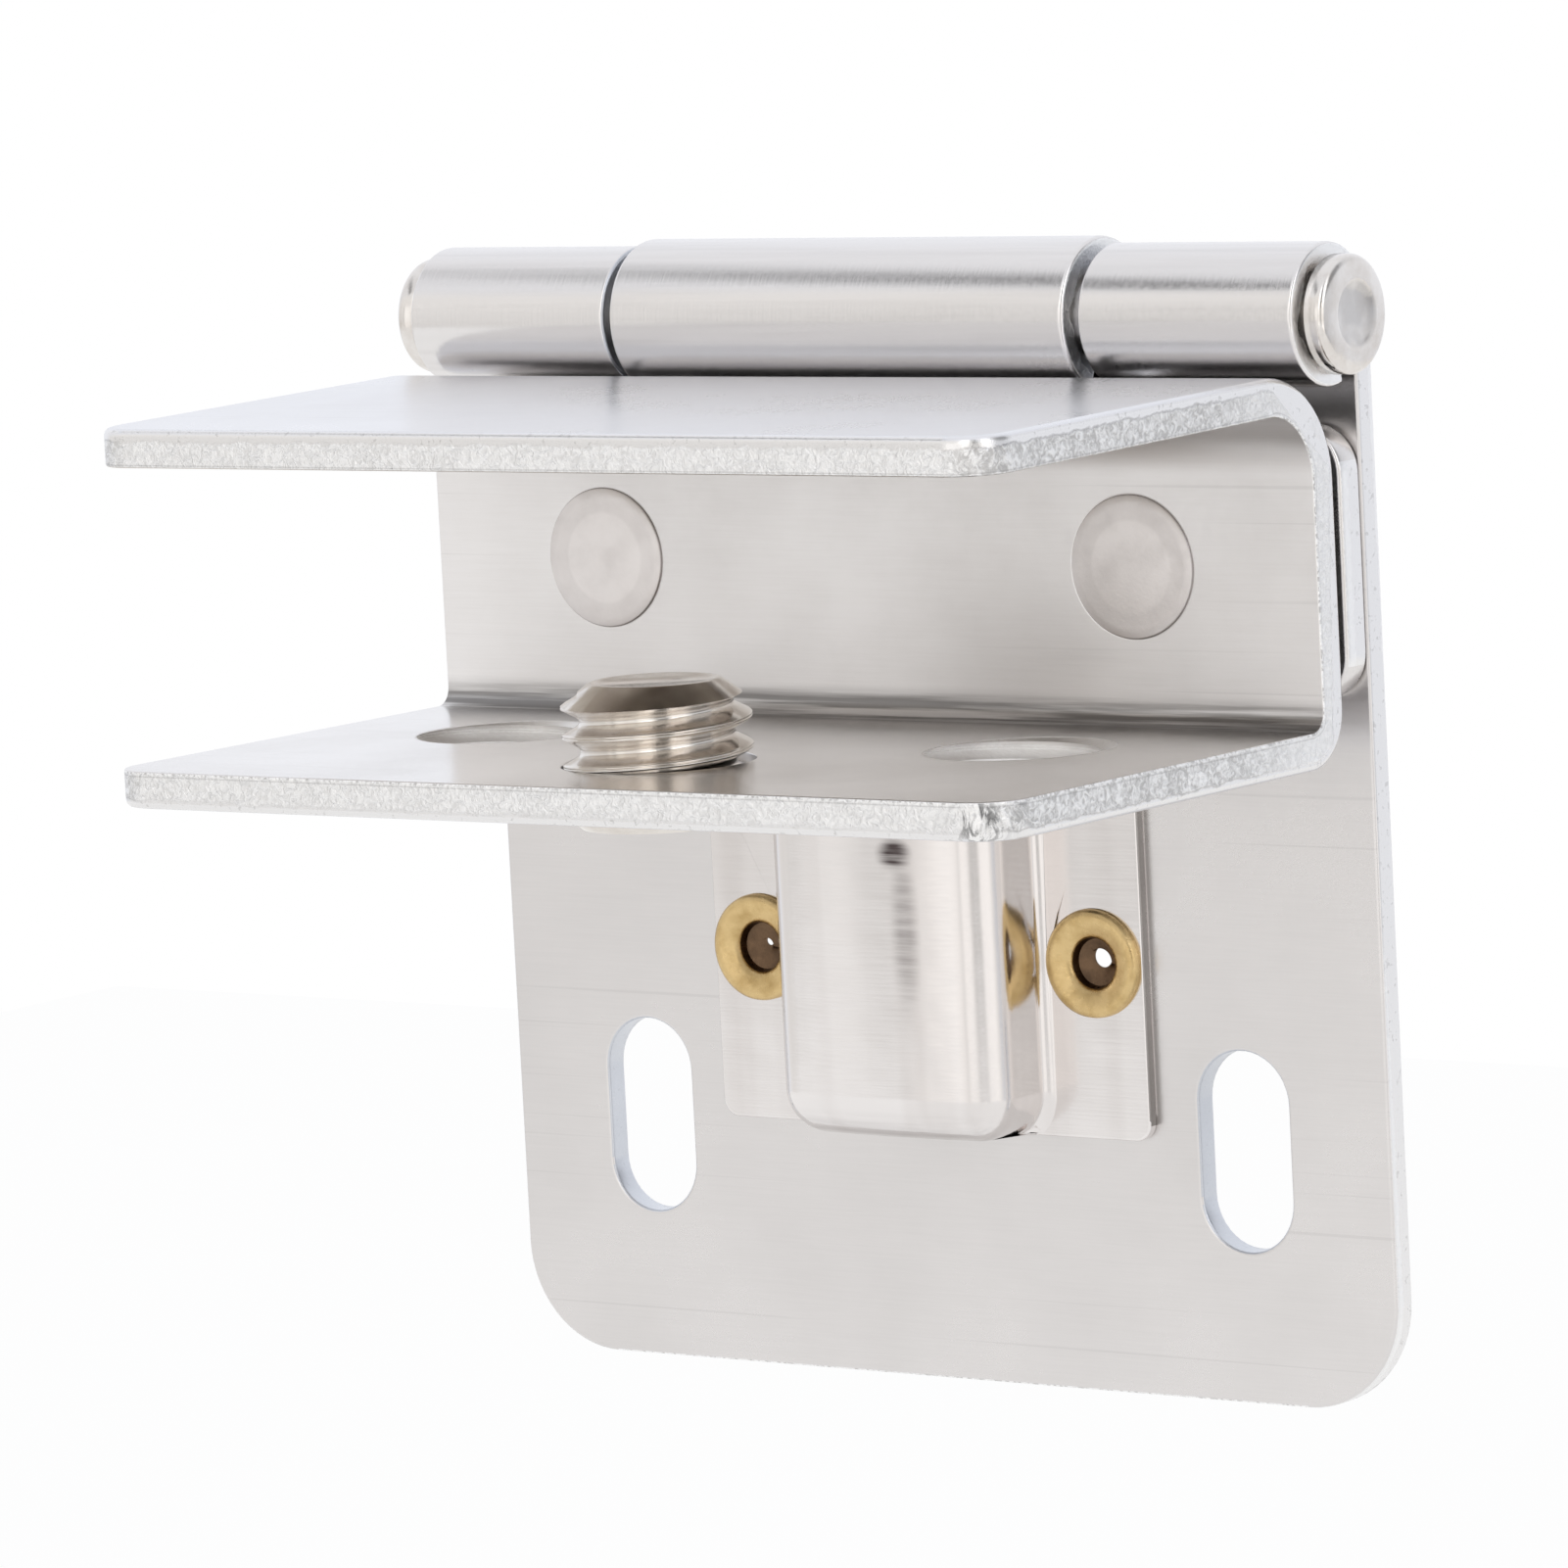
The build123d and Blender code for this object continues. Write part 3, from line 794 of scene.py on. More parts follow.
class Finishes:
    """Every material of the hinge, made once."""

    def __init__(self) -> None:
        """Makes the materials."""
        # Painted shade: a dark band along the channel's bend.
        bend_shade = Mark((0.0, -4.8, 18.7), (90.0, 2.0, 1.3), 1.5)
        web_painted_marks = (
            bend_shade,
            # Painted reflection: two faint dark smudges where the screw shows in the web.
            Mark((11.5, -4.8, 21.2), (3.4, 3.0, 0.9), 0.16),
            Mark((14.5, -4.8, 20.6), (2.2, 3.0, 0.5), 0.12),
        )
        corner_nicks = (
            Mark((21.6, -27.6, 17.8), (1.5, 1.5, 1.6), 0.95),
            Mark((22.4, -26.6, 17.8), (0.6, 0.8, 1.6), 0.9),
        )
        cover_painted_marks = (
            # Painted reflection of the set screw: a dark spot and a dark streak below it.
            Mark((1.5, -5.8, 12.8), (1.1, 2.0, 0.85), 1.5),
            Mark((1.9, -5.8, 9.5), (0.9, 2.0, 4.5), 0.45),
            # Painted shade: a faint dark band across the lower part of the cover.
            Mark((0.0, -5.8, -0.5), (26.0, 3.6, 2.4), 0.42),
        )
        self.plate = SheetFinish(
            "plate nickel", colour=(0.775, 0.752, 0.742), stained=(0.72, 0.70, 0.69)
        ).material()
        self.slot = SheetFinish(
            "slot nickel", colour=(0.70, 0.72, 0.76), stained=(0.60, 0.62, 0.66), grain=Grain.EVEN
        ).material()
        self.leaf = SheetFinish("leaf nickel", roughness=0.26).material()
        self.channel = SheetFinish(
            "channel nickel", colour=(0.83, 0.83, 0.85), stained=(0.78, 0.775, 0.79), marks=(bend_shade,)
        ).material()
        self.shelf = SheetFinish("shelf nickel", roughness=0.20).material()
        self.web = SheetFinish(
            "web nickel",
            colour=(0.91, 0.895, 0.89),
            stained=(0.85, 0.83, 0.82),
            roughness=0.42,
            marks=web_painted_marks,
        ).material()
        # Painted shade: a darker, browner nickel for the upper flange's underside.
        self.shaded = SheetFinish(
            "inner nickel", colour=(0.62, 0.575, 0.53), stained=(0.54, 0.50, 0.45)
        ).material()
        self.rolled = RolledFinish("rolled knuckle nickel").material()
        self.sheared = ShearedFinish(
            "sheared sheet edge", smooth_share=0.6, grain_depth_mm=0.008, contrast=0.2
        ).material()
        self.sheared_channel = ShearedFinish("sheared channel edge", nicks=corner_nicks).material()
        # Painted light: the tapped threads are a brighter nickel, for light that comes up through the
        # holes.
        self.tapped = SheetFinish("tapped nickel", colour=(0.97, 0.96, 0.95), roughness=0.45).material()
        # The pin's dish floors are darkened to this grey: painted shade.
        self.pin = TurnedFinish("pin nickel", stain_and_shade=(0.42, 0.41, 0.41)).material()
        # The screw's cone and thread flanks are darkened brown: a brown stain and painted shade.
        self.screw = TurnedFinish("screw steel", colour=(0.78, 0.74, 0.69), roughness=0.11).material()
        self.rivet = RivetFinish("rivet steel").material()
        self.cover = PressedFinish("cover nickel", marks=cover_painted_marks).material()
        self.cover_edge = SheetFinish(
            "cover edge nickel", colour=(0.40, 0.38, 0.365), stained=(0.30, 0.28, 0.27)
        ).material()
        self.brass = BrassFinish("eyelet brass").material()
        # Painted shade: near-black brass for the eyelets' bores.
        self.shaded_bore = BrassFinish(
            "dulled brass", colour=(0.16, 0.10, 0.06), stained=(0.07, 0.045, 0.03)
        ).material()
        self.ferrite = FerriteFinish("magnet ferrite").material()
        self.pole = SheetFinish("pole steel", colour=(0.55, 0.54, 0.52), roughness=0.35).material()


# ---------------------------------------------------------------------------------------------
# Modelling helpers
# ---------------------------------------------------------------------------------------------


def choose(piece: Piece) -> None:
    """Makes one object the only selected and the active one.

    Args:
        piece: The object.
    """
    bpy.ops.object.select_all(action="DESELECT")
    piece.select_set(True)
    bpy.context.view_layer.objects.active = piece


def placed(name: str, data: bpy.types.ID | None) -> Piece:
    """Puts a mesh or other data in the scene as an object at the origin.

    Args:
        name: The object's name.
        data: The mesh, the camera's data, or None for a bare point.

    Returns:
        The object.
    """
    piece = bpy.data.objects.new(name, data)
    bpy.context.scene.collection.objects.link(piece)
    return piece


def outline(name: str, points: Sequence[Vector | Place]) -> Piece:
    """Makes a piece that is an open line of edges, ready to be spun.

    Args:
        name: The piece's name.
        points: The line's points.

    Returns:
        The piece.
    """
    mesh = bpy.data.meshes.new(name)
    mesh.from_pydata(points, [(i, i + 1) for i in range(len(points) - 1)], [])
    return placed(name, mesh)


def moved_copy(piece: Piece, name: str, shift: Vector) -> Piece:
    """Copies a piece with its own mesh, and moves the copy's points.

    Args:
        piece: The piece.
        name: The copy's name.
        shift: How far the copy lies from the piece.

    Returns:
        The copy.
    """
    mesh = piece.data.copy()
    mesh.name = name
    mesh.transform(Matrix.Translation(shift))
    return placed(name, mesh)


def apply_modifiers(piece: Piece) -> None:
    """Applies all of an object's modifiers in order.

    Args:
        piece: The object.
    """
    choose(piece)
    for name in [modifier.name for modifier in piece.modifiers]:
        bpy.ops.object.modifier_apply(modifier=name)


def close_up(gap_mm: float) -> None:
    """Merges the doubles of the mesh in edit mode and turns its faces outwards.

    Args:
        gap_mm: The widest gap between doubles.
    """
    bpy.ops.mesh.select_all(action="SELECT")
    bpy.ops.mesh.remove_doubles(threshold=gap_mm * MM)
    bpy.ops.mesh.normals_make_consistent(inside=False)


def merged_copy(node: Piece, name: str, gap_mm: float = 0.002, flat_deg: float = 0.4) -> Piece:
    """Copies a solid's mesh, merges its loose triangles and joins the flat ones.

    Args:
        node: The solid's object.
        name: The new piece's name.
        gap_mm: The widest gap between doubles.
        flat_deg: The widest angle between triangles that are one flat face.

    Returns:
        The new piece, at rest in the frame.
    """
    mesh = node.data.copy()
    piece = placed(name, mesh)
    mesh.name = name
    mesh.materials.clear()
    choose(piece)
    bpy.ops.object.mode_set(mode="EDIT")
    bpy.ops.mesh.select_all(action="SELECT")
    bpy.ops.mesh.remove_doubles(threshold=gap_mm * MM)
    bpy.ops.mesh.dissolve_limited(angle_limit=math.radians(flat_deg))
    bpy.ops.mesh.customdata_custom_splitnormals_clear()
    bpy.ops.object.mode_set(mode="OBJECT")
    return piece


def soften_edges(
    piece: Piece,
    width_mm: float,
    share: Callable[[Vector], float] | None = None,
    angle_deg: float = 32.0,
) -> None:
    """Rounds every sharp edge.

    Args:
        piece: The piece.
        width_mm: How wide the widest rounding is.
        share: Takes an edge's middle and says what part of that width it gets. None gives all.
        angle_deg: The sharpest edge that is left alone.
    """
    mesh = piece.data
    normals = {}
    for face in mesh.polygons:
        for key in face.edge_keys:
            normals.setdefault(key, []).append(face.normal)
    limit = math.cos(math.radians(angle_deg))
    weights = mesh.attributes.new("bevel_weight_edge", "FLOAT", "EDGE")
    for edge, weight in zip(mesh.edges, weights.data):
        pair = normals.get(edge.key, [])
        if len(pair) == 2 and pair[0].dot(pair[1]) < limit:
            start, end = (mesh.vertices[index].co for index in edge.vertices)
            weight.value = share((start + end) / 2) if share else 1.0
    bevel = piece.modifiers.new("soft edges", "BEVEL")
    bevel.width = width_mm * MM
    bevel.segments = 3
    bevel.limit_method = "WEIGHT"
    bevel.use_clamp_overlap = False
    bevel.miter_outer = "MITER_ARC"
    apply_modifiers(piece)


def smooth(piece: Piece, angle_deg: float = 38.0) -> None:
    """Shades a piece smooth except across sharp edges, with flat faces kept flat.

    Args:
        piece: The piece.
        angle_deg: The sharpest smooth edge.
    """
    choose(piece)
    bpy.ops.object.shade_smooth_by_angle(angle=math.radians(angle_deg))
    weighted = piece.modifiers.new("flat faces", "WEIGHTED_NORMAL")
    weighted.keep_sharp = True
    weighted.weight = 80
    apply_modifiers(piece)


def part_faces(piece: Piece, tests: Sequence[FaceTest]) -> None:
    """Parts a piece's faces between its material slots.

    Args:
        piece: The piece.
        tests: One for each slot after the first. It takes a face's centre and normal, and says
            whether the slot is the face's own. A later slot wins.
    """
    for slot, test in enumerate(tests, 1):
        for face in piece.data.polygons:
            if test(face.center, face.normal):
                face.material_index = slot


def mark_points(piece: Piece, name: str, level: Callable[[Vector], float]) -> None:
    """Writes a number on every point, for a finish to read.

    Args:
        piece: The piece.
        name: The mesh attribute's name.
        level: Takes a point and gives its number.
    """
    values = piece.data.attributes.new(name, "FLOAT", "POINT")
    for vertex, item in zip(piece.data.vertices, values.data):
        item.value = level(vertex.co)


def spun(
    name: str, profile_mm: Sequence[Point], centre: Vector, axis: Vector, steps: int = 96
) -> Piece:
    """Spins a profile about a line.

    Args:
        name: The piece's name.
        profile_mm: Points as radius and distance along the axis, from pole to pole.
        centre: A point on the line, where the distance is 0.
        axis: The line's direction.
        steps: The facets round it.

    Returns:
        A closed piece with its faces outwards.
    """
    side = axis.orthogonal().normalized()
    points = [centre + side * (radius * MM) + axis * (along * MM) for radius, along in profile_mm]
    piece = outline(name, points)
    choose(piece)
    bpy.ops.object.mode_set(mode="EDIT")
    bpy.ops.mesh.select_all(action="SELECT")
    bpy.ops.mesh.spin(steps=steps, angle=2 * math.pi, center=centre, axis=axis)
    close_up(0.002)
    bpy.ops.object.mode_set(mode="OBJECT")
    return piece


def arc(centre: Point, radius: float, start: float, end: float, steps: int) -> list[Point]:
    """Points along an arc of a profile.

    Args:
        centre: The arc's centre.
        radius: Its radius.
        start: Where it starts, in degrees.
        end: Where it ends, in degrees.
        steps: How many chords it has.

    Returns:
        The points, ends included.
    """
    turns = [math.radians(start + (end - start) * i / steps) for i in range(steps + 1)]
    return [(centre[0] + radius * math.cos(t), centre[1] + radius * math.sin(t)) for t in turns]


def combine(piece: Piece, tool: Piece, cut: Cut) -> None:
    """Cuts or trims a piece with another, which is used up.

    Args:
        piece: The piece that stays.
        tool: The other one.
        cut: How the tool shapes it.
    """
    boolean = piece.modifiers.new("cut", "BOOLEAN")
    boolean.operation = cut.value
    boolean.object = tool
    boolean.solver = "EXACT"
    apply_modifiers(piece)
    bpy.data.objects.remove(tool)


@dataclass(frozen=True)
class MetricThread:
    """A coarse right-handed thread with round roots and a faint seam along its crests.

    A crest passes the bearing at the height that are given, both seen from above. The flank gives
    points of the groove's lower half, from root to crest, as shares of the pitch and of the depth.
    """

    crest_mm: float = 7.94
    pitch_mm: float = 1.25
    depth_share: float = 0.6
    bearing_deg: float = 216.5
    height_mm: float = 20.99
    flank: tuple[Point, ...] = (
        (0.0, 0.0), (0.05, 0.01), (0.10, 0.06), (0.15, 0.16), (0.20, 0.30),
        (0.37, 0.84), (0.40, 0.94), (0.44, 1.0), (0.47, 1.0),
    )
    seam: Point = (0.5, 0.96)

    @property
    def root_mm(self) -> float:
        """The radius at the bottom of the groove."""
        return self.crest_mm / 2 - self.depth_share * self.pitch_mm

    def turn(self) -> list[Point]:
        """Draws one pitch of the groove.

        Returns:
            Points from root to root, as radius and height in metres.
        """
        shape = [*self.flank, self.seam, *((1.0 - along, rise) for along, rise in reversed(self.flank))]
        depth_mm = self.depth_share * self.pitch_mm
        return [
            ((self.root_mm + rise * depth_mm) * MM, along * self.pitch_mm * MM) for along, rise in shape
        ]

    def rod(self, name: str, centre: Vector, low: float, high: float, steps: int = 72) -> Piece:
        """A threaded rod along Z, cut square at both ends.

        Args:
            name: The rod's name.
            centre: A point on its axis.
            low: The height of its lower end.
            high: The height of its upper end.
            steps: The facets in one turn.

        Returns:
            The rod.
        """
        pitch = self.pitch_mm * MM
        start = self.height_mm * MM - pitch * (0.5 + self.bearing_deg / 360)
        start -= pitch * math.ceil((start - low) / pitch + 2)
        rod = outline(name, [(centre.x + out, centre.y, start + up) for out, up in self.turn()])
        axis = placed(name + " axis", None)
        axis.location = centre
        bpy.context.view_layer.update()
        screw = rod.modifiers.new("helix", "SCREW")
        screw.object = axis
        screw.axis = "Z"
        screw.screw_offset = pitch
        screw.iterations = math.ceil((high - low) / pitch) + 5
        screw.steps = screw.render_steps = steps
        screw.use_merge_vertices = True
        screw.merge_threshold = 0.001 * MM
        apply_modifiers(rod)
        bpy.data.objects.remove(axis)
        bpy.ops.object.mode_set(mode="EDIT")
        for height, upper in ((low, False), (high, True)):
            bpy.ops.mesh.select_all(action="SELECT")
            bpy.ops.mesh.bisect(
                plane_co=(0, 0, height),
                plane_no=(0, 0, 1),
                use_fill=True,
                clear_outer=upper,
                clear_inner=not upper,
            )
        close_up(0.001)
        bpy.ops.object.mode_set(mode="OBJECT")
        return rod


def mount(piece: Piece, body: Body, materials: Sequence[Material]) -> None:
    """Puts a finished piece on its body.

    Args:
        piece: The piece.
        body: The body it moves with.
        materials: Its materials in slot order.
    """
    for material in materials:
        piece.data.materials.append(material)
    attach(piece, body.value)
    LOG.info("%s: %d faces on %s", piece.name, len(piece.data.polygons), body.value)


def dress(piece: Piece, body: Body, node: str, materials: Sequence[Material]) -> None:
    """Puts a finished piece on its body in place of its solid.

    Args:
        piece: The piece.
        body: The body it moves with.
        node: The solid it stands for.
        materials: Its materials in slot order.
    """
    mount(piece, body, materials)
    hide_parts(node)


# ---------------------------------------------------------------------------------------------
# The hinge's sub-assemblies
# ---------------------------------------------------------------------------------------------


@dataclass
class KnuckledSheet:
    """A flat sheet that curls into knuckles round the pin."""

    nodes: dict[str, Piece]
    finishes: Finishes
    node: str
    sheet_mm: float
    knuckle_mm: float
    back_mm: float
    curl_reach_mm: float
    edge_mm: float
    pin_y_mm: float = -3.0
    margin_mm: float = 0.02

    def __post_init__(self) -> None:
        """Finds the pin's axis."""
        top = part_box(self.node)[1].z
        self.pin = Vector((0, self.pin_y_mm * MM, top - self.knuckle_mm * MM))

    def depth_of(self, point: Vector) -> float:
        """How far a point lies through the sheet, from the punched side to the burr.

        Args:
            point: A point on the sheet.

        Returns:
            0 on the back of the sheet and inside the curl, 1 on the front and outside.
        """
        radius = math.hypot(point.y - self.pin.y, point.z - self.pin.z)
        if radius < (self.knuckle_mm + self.margin_mm) * MM:
            depth = radius - (self.knuckle_mm - self.sheet_mm) * MM
        else:
            depth = self.back_mm * MM - point.y
        return min(1.0, max(0.0, depth / (self.sheet_mm * MM)))

    def is_side(self, centre: Vector, normal: Vector) -> bool:
        """Whether a face looks along the pin."""
        return abs(normal.x) > FACING

    def model(self, tests: Sequence[FaceTest]) -> Piece:
        """Models the sheet's soft edges and parts its faces.

        Args:
            tests: What faces each material slot after the first has.

        Returns:
            The sheet.
        """
        sheet = merged_copy(self.nodes[self.node], f"dressed_{self.node}")
        part_faces(sheet, tests)
        soften_edges(sheet, self.edge_mm)
        mark_points(sheet, "across", self.depth_of)
        smooth(sheet)
        return sheet


@dataclass
class MountingPlate(KnuckledSheet):
    """The slotted plate and its two outer knuckles."""

    node: str = "mounting_plate"
    sheet_mm: float = 1.2
    knuckle_mm: float = 3.0
    back_mm: float = 0.0
    curl_reach_mm: float = 4.0
    edge_mm: float = 0.17
    curl_from_mm: float = -1.25
    face_mm: float = -1.21
    edge_below_pin_mm: float = 0.1
    slot_beside_mm: float = 20.0
    slot_above_mm: float = -6.0

    def is_rolled(self, centre: Vector, normal: Vector) -> bool:
        """Whether a face is part of a knuckle."""
        forward = centre.z > self.pin.z - self.curl_reach_mm * MM and centre.y < self.curl_from_mm * MM
        return forward or centre.z > self.pin.z

    def is_edge(self, centre: Vector, normal: Vector) -> bool:
        """Picks the sheared faces: the sheet's outline, the holes, and the knuckles' ends.

        Args:
            centre: The face's centre.
            normal: Its normal.

        Returns:
            Whether it is one.
        """
        below = centre.z < self.pin.z - self.edge_below_pin_mm * MM
        on_outline = below and abs(normal.y) < 0.3 and centre.y > self.face_mm * MM
        return on_outline or self.is_side(centre, normal)

    def is_slot(self, centre: Vector, normal: Vector) -> bool:
        """Whether a face is the wall of a fixing slot or a hole."""
        beside = abs(centre.x) < self.slot_beside_mm * MM and centre.z > self.slot_above_mm * MM
        return self.is_edge(centre, normal) and beside

    def build(self) -> None:
        """Models the plate with its rolled, sheared and punched faces."""
        plate = self.model((self.is_rolled, self.is_edge, self.is_slot))
        finishes = self.finishes
        sides = (finishes.plate, finishes.rolled, finishes.sheared, finishes.slot)
        dress(plate, Body.PLATE, self.node, sides)


@dataclass
class DoorLeaf(KnuckledSheet):
    """The leaf between the channel and the plate, with the centre knuckle."""

    node: str = "door_leaf"
    sheet_mm: float = 1.5
    knuckle_mm: float = 3.3
    back_mm: float = -1.3
    curl_reach_mm: float = 3.4
    edge_mm: float = 0.2

    def is_rolled(self, centre: Vector, normal: Vector) -> bool:
        """Whether a face is part of the knuckle."""
        return centre.z > self.pin.z - self.curl_reach_mm * MM

    def build(self) -> None:
        """Models the leaf with its rolled and sheared faces."""
        leaf = self.model((self.is_rolled, self.is_side))
        finishes = self.finishes
        dress(leaf, Body.DOOR, self.node, (finishes.leaf, finishes.rolled, finishes.sheared))


@dataclass
class HingePin:
    """The pin with its two dished heads.

    The face gives points from a head's face down into its dish, as the distance outside the dish's
    edge and the depth below the head's end.
    """

    finishes: Finishes
    shank_mm: float = 3.5
    head_mm: float = 5.0
    head_depth_mm: float = 1.1
    chamfer_mm: float = 0.12
    rim_mm: float = 0.34
    rim_below_mm: float = 0.08
    rim_deg: float = 70.0
    face_mm: float = 4.3
    face_below_mm: float = 0.07
    dish_mm: float = 2.9
    dish_depth_mm: float = 0.15
    dish_edge_mm: tuple[Point, ...] = ((0.12, 0.0), (0.0, 0.01), (-0.14, 0.06))
    dish_floor_mm: Span = (0.5, 0.35)
    dish_crown_mm: float = 0.01
    # How much painted shade darkens the floors of the dishes.
    dish_shade: float = 0.55
    dish_shade_inset_mm: float = 0.1

    def build(self) -> None:
        """Spins the pin from one dished head to the other."""
        low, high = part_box("hinge_pin")
        centre = (low + high) / 2
        half = (high.x - low.x) / 2 / MM
        head, shank, rim, chamfer = self.head_mm / 2, self.shank_mm / 2, self.rim_mm, self.chamfer_mm
        dish, floor, crown = self.dish_mm / 2, half - self.dish_depth_mm, self.dish_crown_mm
        shoulder = half - self.head_depth_mm
        end = [(shank, 0.0), (shank, shoulder), (head - chamfer, shoulder), (head, shoulder + chamfer)]
        end += arc((head - rim, half - self.rim_below_mm - rim), rim, 0, self.rim_deg, 6)
        end += [(self.face_mm / 2, half - self.face_below_mm)]
        end += [(dish + out, half - down) for out, down in self.dish_edge_mm]
        wide, narrow = self.dish_floor_mm
        end += [(dish - wide, floor + crown), (narrow, floor), (0.0, floor + crown)]
        profile = [(r, -z) for r, z in reversed(end)] + end[1:]
        pin = spun("dressed_hinge_pin", profile, centre, Vector((1, 0, 0)))

        def dish_shade(point: Vector) -> float:
            """Paints shade on the floors of the dishes only.

            Args:
                point: A point on the pin.

            Returns:
                How much painted shade it has.
            """
            out = abs(point.x - centre.x) > (half - 2 * self.dish_depth_mm) * MM
            inside = (point.yz - centre.yz).length < (dish - self.dish_shade_inset_mm) * MM
            return self.dish_shade if out and inside else 0.0

        mark_points(pin, "stain_and_shade", dish_shade)
        smooth(pin, 50.0)
        dress(pin, Body.PLATE, "hinge_pin", (self.finishes.pin,))


@dataclass
class GlassChannel:
    """The folded channel that grips the pane, with its tapped holes.

    The holes are given along X and forward of the web's back.
    """

    nodes: dict[str, Piece]
    finishes: Finishes
    thread: MetricThread
    sheet_mm: float = 1.6
    upper_bend_mm: float = 4.5
    lower_bend_mm: float = 2.4
    toe_in_deg: float = 1.15
    edge_mm: float = 0.30
    inner_edge_share: float = 0.28
    cut_reach_mm: float = 2.2
    web_reach_mm: float = 4.7
    flange_reach_mm: float = 3.52
    holes_mm: tuple[Point, Point] = ((-13.3, 9.7), (13.3, 9.7))
    hole_radius_mm: float = 4.05
    hole_margin_mm: float = 0.1
    ring_gap_mm: float = 0.003
    ring_into_wall_mm: float = 0.03
    ring_wall_mm: float = 0.3
    ring_sink_mm: float = 0.34
    ring_over_root_mm: float = 0.15
    tap_spare_mm: float = 0.3

    def __post_init__(self) -> None:
        """Reads the channel's box."""
        self.low, self.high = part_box("glass_channel")

    def across(self, point: Vector) -> float:
        """How far a point lies through the sheet, from the outer face in.

        Args:
            point: A point on the channel.

        Returns:
            0 on the outer face and 1 on the inner.
        """
        lean = math.tan(math.radians(self.toe_in_deg))
        top = self.high.z + (point.y - self.high.y) * lean
        upper, lower = self.upper_bend_mm * MM, self.lower_bend_mm * MM
        back = self.high.y
        if point.z > top - upper and point.y > back - upper:
            depth = upper - math.hypot(point.y - (back - upper), point.z - (self.high.z - upper))
        elif point.z < self.low.z + lower and point.y > back - lower:
            depth = lower - math.hypot(point.y - (back - lower), point.z - (self.low.z + lower))
        else:
            depth = min(top - point.z, point.z - self.low.z, back - point.y)
        return min(1.0, max(0.0, depth / (self.sheet_mm * MM)))

    def hole_centre(self, hole_mm: Point) -> Vector:
        """Where a hole's axis meets the lower flange's underside."""
        return Vector((hole_mm[0] * MM, self.high.y - hole_mm[1] * MM, self.low.z))

    def edge_share(self, middle: Vector) -> float:
        """How wide an edge is rounded: wide outside, narrow inside, and not at all round a thread.

        Args:
            middle: The edge's middle.

        Returns:
            A part of the widest rounding.
        """
        for hole_mm in self.holes_mm:
            away = (middle.xy - self.hole_centre(hole_mm).xy).length
            if away < (self.hole_radius_mm + self.hole_margin_mm) * MM:
                return 0.0
        return 1.0 if self.across(middle) < 0.5 else self.inner_edge_share

    def is_edge(self, centre: Vector, normal: Vector) -> bool:
        """Picks the sheared faces, on the sides and at the flanges' tips.

        Args:
            centre: The face's centre.
            normal: Its normal.

        Returns:
            Whether it is one.
        """
        reach = self.cut_reach_mm * MM
        on_side = abs(normal.x) > FACING and abs(centre.x) > self.high.x - reach
        return on_side or abs(normal.z) < 0.3 and centre.y < self.low.y + reach

    def is_web(self, centre: Vector, normal: Vector) -> bool:
        """Whether a face is the web's front or inside a bend."""
        near_web = centre.y > self.high.y - self.web_reach_mm * MM
        return near_web and normal.y < -0.2 and abs(normal.x) < 0.5

    def is_ceiling(self, centre: Vector, normal: Vector) -> bool:
        """Whether a face is the upper flange's underside."""
        return normal.z < -FACING and centre.z > self.high.z - self.flange_reach_mm * MM

    def is_shelf(self, centre: Vector, normal: Vector) -> bool:
        """Whether a face is the lower flange's top."""
        return normal.z > FACING and centre.z < self.low.z + self.flange_reach_mm * MM

    def build(self) -> None:
        """Models the channel's soft edges, parts its faces and lines its empty holes."""
        channel = merged_copy(self.nodes["glass_channel"], "dressed_glass_channel")
        part_faces(channel, (self.is_edge, self.is_web, self.is_ceiling, self.is_shelf))
        soften_edges(channel, self.edge_mm, self.edge_share)
        mark_points(channel, "across", self.across)
        smooth(channel)
        finishes = self.finishes
        sides = (finishes.channel, finishes.sheared_channel, finishes.web, finishes.shaded, finishes.shelf)
        dress(channel, Body.DOOR, "glass_channel", sides)
        left, right = (self.hole_centre(hole_mm) for hole_mm in self.holes_mm)
        ring = self.tapped_ring("tapped_thread_left", left)
        for lining in (ring, moved_copy(ring, "tapped_thread_right", right - left)):
            mount(lining, Body.DOOR, (finishes.tapped,))

    def tapped_ring(self, name: str, hole: Vector) -> Piece:
        """Cuts the thread of an empty hole as a ring that lines it.

        Args:
            name: The ring's name.
            hole: Where the hole's axis meets the flange's underside.

        Returns:
            The ring.
        """
        centre = hole + Vector((0, 0, self.ring_gap_mm * MM))
        height = self.sheet_mm - 2 * self.ring_gap_mm
        wall = self.hole_radius_mm + self.ring_into_wall_mm
        mouth, bore = wall - self.ring_wall_mm, self.thread.root_mm + self.ring_over_root_mm
        sink = self.ring_sink_mm
        profile = [(bore, sink), (mouth, 0.0), (wall, 0.0), (wall, height), (mouth, height)]
        profile += [(bore, height - sink), (bore, sink)]
        ring = spun(name, profile, centre, Vector((0, 0, 1)), 72)
        low, high = centre.z - self.tap_spare_mm * MM, centre.z + (height + self.tap_spare_mm) * MM
        combine(ring, self.thread.rod(name + " tap", centre, low, high), Cut.SINK)
        smooth(ring, 25.0)
        return ring


